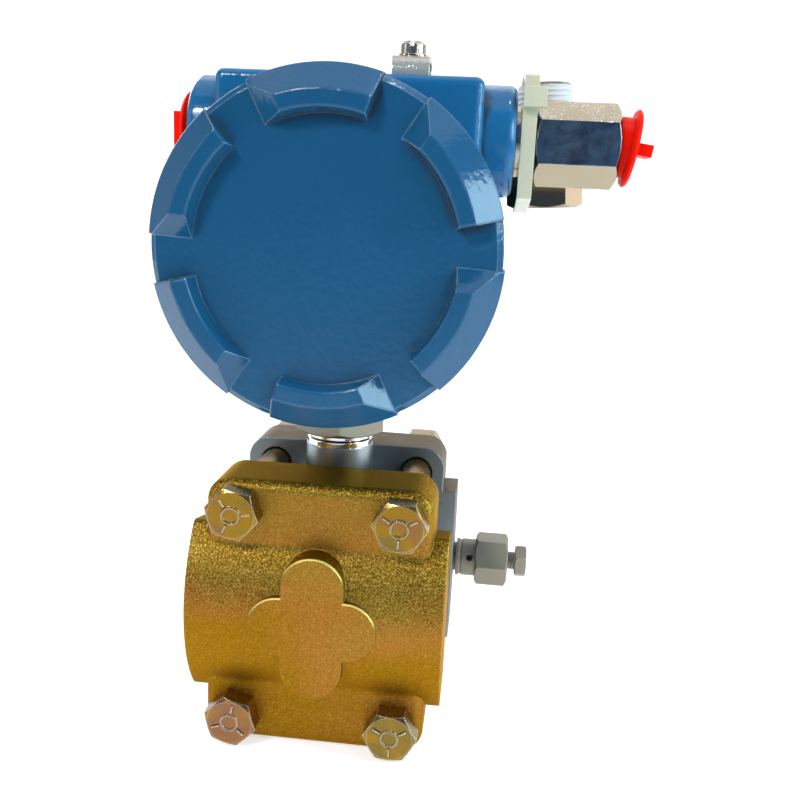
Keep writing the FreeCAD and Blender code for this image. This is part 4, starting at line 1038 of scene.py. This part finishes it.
@dataclass
class FlangeBolting:
    """What shows on the four bolts: raised marks on the heads and threads past the nuts."""

    span_x: float = BOLT_SPAN_X
    span_z: float = BOLT_SPAN_Z
    axis_z: float = FLANGE_AXIS_Z
    ring_radius: float = 2.8 * MM
    ring_height: float = 0.45 * MM
    ring_spread: float = 1.3
    mark_count: int = 3
    mark_inner: float = 3.5 * MM
    mark_outer: float = 6.5 * MM
    mark_width: float = 0.9 * MM
    mark_rise: float = 0.55 * MM
    mark_sink: float = 0.05 * MM
    mark_shoulder: float = 0.6
    shoulder_draw: float = 0.06 * MM
    crown_draw: float = 0.2 * MM
    thread_root: float = 5.56 * MM
    thread_crest: float = 5.8 * MM
    thread_pitch: float = 1.27 * MM

    def spots(self) -> list[Spot]:
        """Each bolt's x and z, and the turn of its marks in degrees."""
        turns = ((-1, -1, 80), (-1, 1, 6), (1, -1, 30), (1, 1, 28))
        return [
            (self.span_x / 2 * side, self.axis_z + self.span_z / 2 * rise, turn)
            for side, rise, turn in turns
        ]

    def build_marks(self, face: float) -> bpy.types.Object:
        """Make the ring and the bars on each head.

        Args:
            face: Where the heads' outer faces lie along Y.

        Returns:
            The piece.
        """
        mesh = bmesh.new()
        for x, z, turn in self.spots():
            spot = Matrix.Translation((x, face, z)) @ turned("X", 90) @ turned("Z", turn)
            self._add_ring(mesh, spot)
            for index in range(self.mark_count):
                self._add_bar(mesh, spot @ turned("Z", 360 / self.mark_count * index))
        return new_piece("bolt_head_marks", mesh)

    def _add_ring(self, mesh: bmesh.types.BMesh, spot: Matrix, around: int = 36, across: int = 8) -> None:
        """Add one raised ring.

        Args:
            mesh: The mesh to add to.
            spot: Where the head's face is.
            around: Points round the ring.
            across: Points round its section.
        """
        rings = []
        for step in range(around):
            angle = 2 * math.pi * step / around
            ring = []
            for part in range(across):
                turn = 2 * math.pi * part / across
                radius = self.ring_radius + self.ring_height * self.ring_spread * math.cos(turn)
                ring.append(spot @ round_point(radius, angle, self.ring_height * math.sin(turn)))
            rings.append(ring)
        loft(mesh, rings, closed=True)

    def _add_bar(self, mesh: bmesh.types.BMesh, spot: Matrix) -> None:
        """Add one raised bar with sloping sides.

        Args:
            mesh: The mesh to add to.
            spot: The head's face, turned so that the bar runs along X.
        """
        levels = (
            (-self.mark_sink, 0.0),
            (self.mark_rise * self.mark_shoulder, self.shoulder_draw),
            (self.mark_rise, self.crown_draw),
        )
        rings = []
        for rise, draw in levels:
            half = self.mark_width / 2 - draw
            start, end = self.mark_inner + draw, self.mark_outer - draw
            corners = ((start, -half), (end, -half), (end, half), (start, half))
            rings.append([spot @ Vector((x, y, rise)) for x, y in corners])
        loft(mesh, rings)

    def build_threads(self, nut_face: float, end: float) -> bpy.types.Object:
        """Make the threads that stand out of the nuts.

        Args:
            nut_face: Where the nuts' outer faces lie along Y.
            end: Where the bolts end along Y.

        Returns:
            The piece.
        """
        mesh = bmesh.new()
        length = end - nut_face
        for x, z, _ in self.spots():
            spot = Matrix.Translation((x, nut_face - self.thread_pitch, z)) @ turned("X", -90)
            Thread(spot, self.thread_root, self.thread_crest, self.thread_pitch, length).wind(mesh)
        return new_piece("bolt_threads", mesh)

    def build(self, wardrobe: Wardrobe) -> None:
        """Add and dress the pieces.

        Args:
            wardrobe: Where the finishes come from.
        """
        bolt_low, bolt_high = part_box("flange_bolts")
        _, nut_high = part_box("flange_nuts")
        wardrobe.dress_piece(self.build_marks(bolt_low.y), "yellow_zinc", "cell")
        wardrobe.dress_piece(self.build_threads(nut_high.y, bolt_high.y), "yellow_zinc", "cell")


@dataclass
class SparePlug:
    """The taped taper thread of the pipe plug that is tied behind the adapter."""

    foot: Spot = (68.9 * MM, 43.45 * MM, 184.4 * MM)
    tilt: float = 4.0
    hex_length: float = 18.0 * MM
    length: float = 45.0 * MM
    bare_end: float = 1.0 * MM
    root: float = 10.0 * MM
    crest: float = 10.5 * MM
    pitch: float = 1.814 * MM
    tape: float = 0.15 * MM
    tape_start: float = 0.2 * MM
    tape_full: float = 0.6 * MM

    def build(self, wardrobe: Wardrobe) -> None:
        """Add and dress the thread.

        Args:
            wardrobe: Where the finishes come from.
        """
        lift = Matrix.Translation((0.0, 0.0, self.hex_length))
        place = Matrix.Translation(self.foot) @ turned("Y", -self.tilt) @ lift
        length = self.length - self.hex_length - self.bare_end
        mesh = bmesh.new()
        Thread(place, self.root, self.crest, self.pitch, length).wind(mesh)
        self._wrap(mesh, place, length)
        wardrobe.dress_piece(new_piece("spare_plug_thread", mesh), "gasket_polymer", "housing")

    def _wrap(self, mesh: bmesh.types.BMesh, place: Matrix, length: float, around: int = 64) -> None:
        """Add the tape that lies in the thread.

        Args:
            mesh: The mesh to add to.
            place: The thread's foot and axis.
            length: The thread's length.
            around: Points round the tape.
        """
        outer, inner = self.root + self.tape, self.root - self.tape
        levels = ((self.tape_start, inner), (self.tape_full, outer), (length, outer), (length, inner))
        angles = [2 * math.pi * step / around for step in range(around)]
        loft(mesh, [
            [place @ round_point(radius, angle, level) for angle in angles] for level, radius in levels
        ])


@dataclass
class CoverScrews:
    """The threads round the covers' spigots, which show when a cover is unscrewed."""

    axis_z: float = HOUSING_AXIS_Z
    root: float = 43.2 * MM
    crest: float = 43.33 * MM
    pitch: float = 1.5875 * MM
    length: float = 10.6 * MM
    steps: int = 96
    front_start: float = -22.1 * MM
    rear_start: float = 25.5 * MM

    def build(self, wardrobe: Wardrobe) -> None:
        """Add and dress both threads.

        Args:
            wardrobe: Where the finishes come from.
        """
        for body, start in (("front_cover", self.front_start), ("rear_cover", self.rear_start)):
            place = Matrix.Translation((0.0, start, self.axis_z)) @ turned("X", -90)
            thread = Thread(place, self.root, self.crest, self.pitch, self.length, self.steps)
            wardrobe.dress_piece(thread.build(f"{body}_thread"), "blue_paint", body)


@dataclass
class VentStemScrew:
    """The fine thread of the vent valve's stem."""

    spot: Spot = (56.0 * MM, 27.0 * MM, FLANGE_AXIS_Z)
    root: float = 3.3 * MM
    crest: float = 3.5 * MM
    pitch: float = 0.9 * MM
    length: float = 12.2 * MM

    def build(self, wardrobe: Wardrobe) -> None:
        """Add and dress the thread.

        Args:
            wardrobe: Where the finishes come from.
        """
        place = Matrix.Translation(self.spot) @ turned("Y", 90)
        thread = Thread(place, self.root, self.crest, self.pitch, self.length)
        wardrobe.dress_piece(thread.build("vent_stem_thread"), "valve_steel", "vent_stem")


@dataclass(frozen=True)
class SoftBox:
    """A soft light that looks at the part; place and size in metres, power in watts, spread in degrees."""

    name: str
    place: Spot
    size: tuple[float, float]
    power: float
    spread: float = 120.0
    colour: Colour = (1.0, 1.0, 1.0)
    aim: Spot = (0.0, 0.0, 0.13)

    def hang(self) -> None:
        """Add the light."""
        lamp = bpy.data.lights.new(self.name, "AREA")
        lamp.shape = "ELLIPSE"
        lamp.size, lamp.size_y = self.size
        lamp.color = self.colour
        lamp.energy = self.power
        lamp.spread = math.radians(self.spread)
        holder = bpy.data.objects.new(self.name, lamp)
        holder.location = self.place
        ahead = Vector(self.aim) - Vector(self.place)
        holder.rotation_euler = ahead.to_track_quat("-Z", "Y").to_euler()
        bpy.context.scene.collection.objects.link(holder)
        log.info("hung %s", self.name)


LIGHTS = (
    SoftBox("key_box", (-0.5, -0.95, 0.9), (0.28, 0.28), 1.0, 70.0),
    SoftBox("window_box", (1.01, -0.2, 0.49), (0.52, 0.52), 3.2, colour=(0.58, 0.87, 1.0)),
    SoftBox("top_box", (0.1, 0.3, 1.25), (2.0, 2.0), 8.0, 180.0),
    SoftBox("back_box", (-0.7, 0.8, 0.6), (0.5, 0.5), 2.5, 180.0),
    SoftBox("wall_box", (1.0, 0.72, 0.22), (0.4, 0.4), 0.4, colour=(1.0, 0.95, 0.86)),
    SoftBox("right_strip", (0.8, -0.75, 0.5), (0.03, 0.7), 0.6),
    SoftBox("left_strip", (-0.95, -0.4, 0.5), (0.035, 0.7), 0.4),
    SoftBox("ceiling_lamp", (0.25, -0.1, 1.2), (0.1, 0.1), 0.8),
)


@dataclass
class Studio:
    """Pale floor, soft lights and the camera of the view; angles in degrees, focal length in pixels."""

    camera_place: Spot = (50.8 * MM, -312.63 * MM, 185.74 * MM)
    yaw: float = -5.41
    pitch: float = 12.67
    roll: float = 2.75
    focal: float = 899.86
    picture: float = 800.0
    sensor: float = 36.0
    clip: float = 0.01
    floor_half: float = 1.2
    floor_front: float = -4.0
    floor_back: float = 0.72
    floor_drop: float = 0.2 * MM
    bend: float = 0.5
    bend_steps: int = 8
    wall_top: float = 2.0
    air_ahead: Colour = (0.058, 0.12, 0.24)
    air_aside: Colour = (0.5, 0.54, 0.6)
    air_power: float = 4.0

    def build(self) -> None:
        """Set the stage."""
        self._add_floor()
        self._add_world()
        for light in LIGHTS:
            light.hang()
        self._add_camera()

    def _add_floor(self) -> None:
        """Lay the floor, a sheet that curves up behind."""
        mesh = bmesh.new()
        profile = [(self.floor_front, 0.0), (self.floor_back, 0.0)]
        for step in range(1, self.bend_steps + 1):
            angle = math.pi / 2 * step / self.bend_steps
            rise = self.bend - self.bend * math.cos(angle)
            profile.append((self.floor_back + self.bend * math.sin(angle), rise))
        profile.append((self.floor_back + self.bend, self.wall_top))
        rows = [
            [mesh.verts.new((x, y, z - self.floor_drop)) for x in (-self.floor_half, self.floor_half)]
            for y, z in profile
        ]
        for near, far in zip(rows, rows[1:]):
            mesh.faces.new((near[0], near[1], far[1], far[0]))
        floor = new_piece("studio_floor", mesh)
        floor.data.shade_smooth()
        floor.data.materials.append(Backdrop("studio_paper").build())
        log.info("laid %s", floor.name)

    def _add_world(self) -> None:
        """Fill the room with cool light, paler to the left and right."""
        air = AirTree("studio_air")
        ahead = air.node("ShaderNodeTexCoord", output="Generated")
        across = air.node("ShaderNodeSeparateXYZ", sockets={0: ahead}, output="X")
        aside = air.math("ABSOLUTE", across) ** self.air_power
        air.feed(air.shader.inputs["Color"], air.blend(aside, self.air_ahead, self.air_aside))
        bpy.context.scene.world = air.world
        log.info("filled %s", air.world.name)

    def _add_camera(self) -> None:
        """Stand the camera where the picture was taken from."""
        yaw, pitch, roll = (math.radians(angle) for angle in (self.yaw, self.pitch, self.roll))
        level = Vector((math.sin(yaw), math.cos(yaw), 0.0)) * math.cos(pitch)
        ahead = level - Vector((0.0, 0.0, math.sin(pitch)))
        right = Vector((math.cos(yaw), -math.sin(yaw), 0.0))
        up = right.cross(ahead)
        rolled_right = right * math.cos(roll) + up * math.sin(roll)
        rolled_up = up * math.cos(roll) - right * math.sin(roll)
        lens = bpy.data.cameras.new("view_camera")
        lens.sensor_fit = "HORIZONTAL"
        lens.sensor_width = self.sensor
        lens.lens = self.focal * self.sensor / self.picture
        lens.clip_start = self.clip
        camera = bpy.data.objects.new("view_camera", lens)
        turn = Matrix((rolled_right, rolled_up, -ahead)).transposed()
        camera.matrix_world = Matrix.Translation(self.camera_place) @ turn.to_4x4()
        bpy.context.scene.collection.objects.link(camera)
        bpy.context.scene.camera = camera
        log.info("stood %s", camera.name)


def main() -> None:
    """Dress the part and set the stage."""
    logging.basicConfig(level=logging.INFO, format="%(name)s: %(message)s")
    bpy.context.scene.view_settings.view_transform = "Standard"
    wardrobe = Wardrobe(FINISHES, NODE_FINISHES)
    wardrobe.dress_nodes(frame["nodes"], frame["record"])
    FlangeBolting().build(wardrobe)
    SparePlug().build(wardrobe)
    CoverScrews().build(wardrobe)
    VentStemScrew().build(wardrobe)
    Studio().build()


if __name__ == "__main__":
    main()
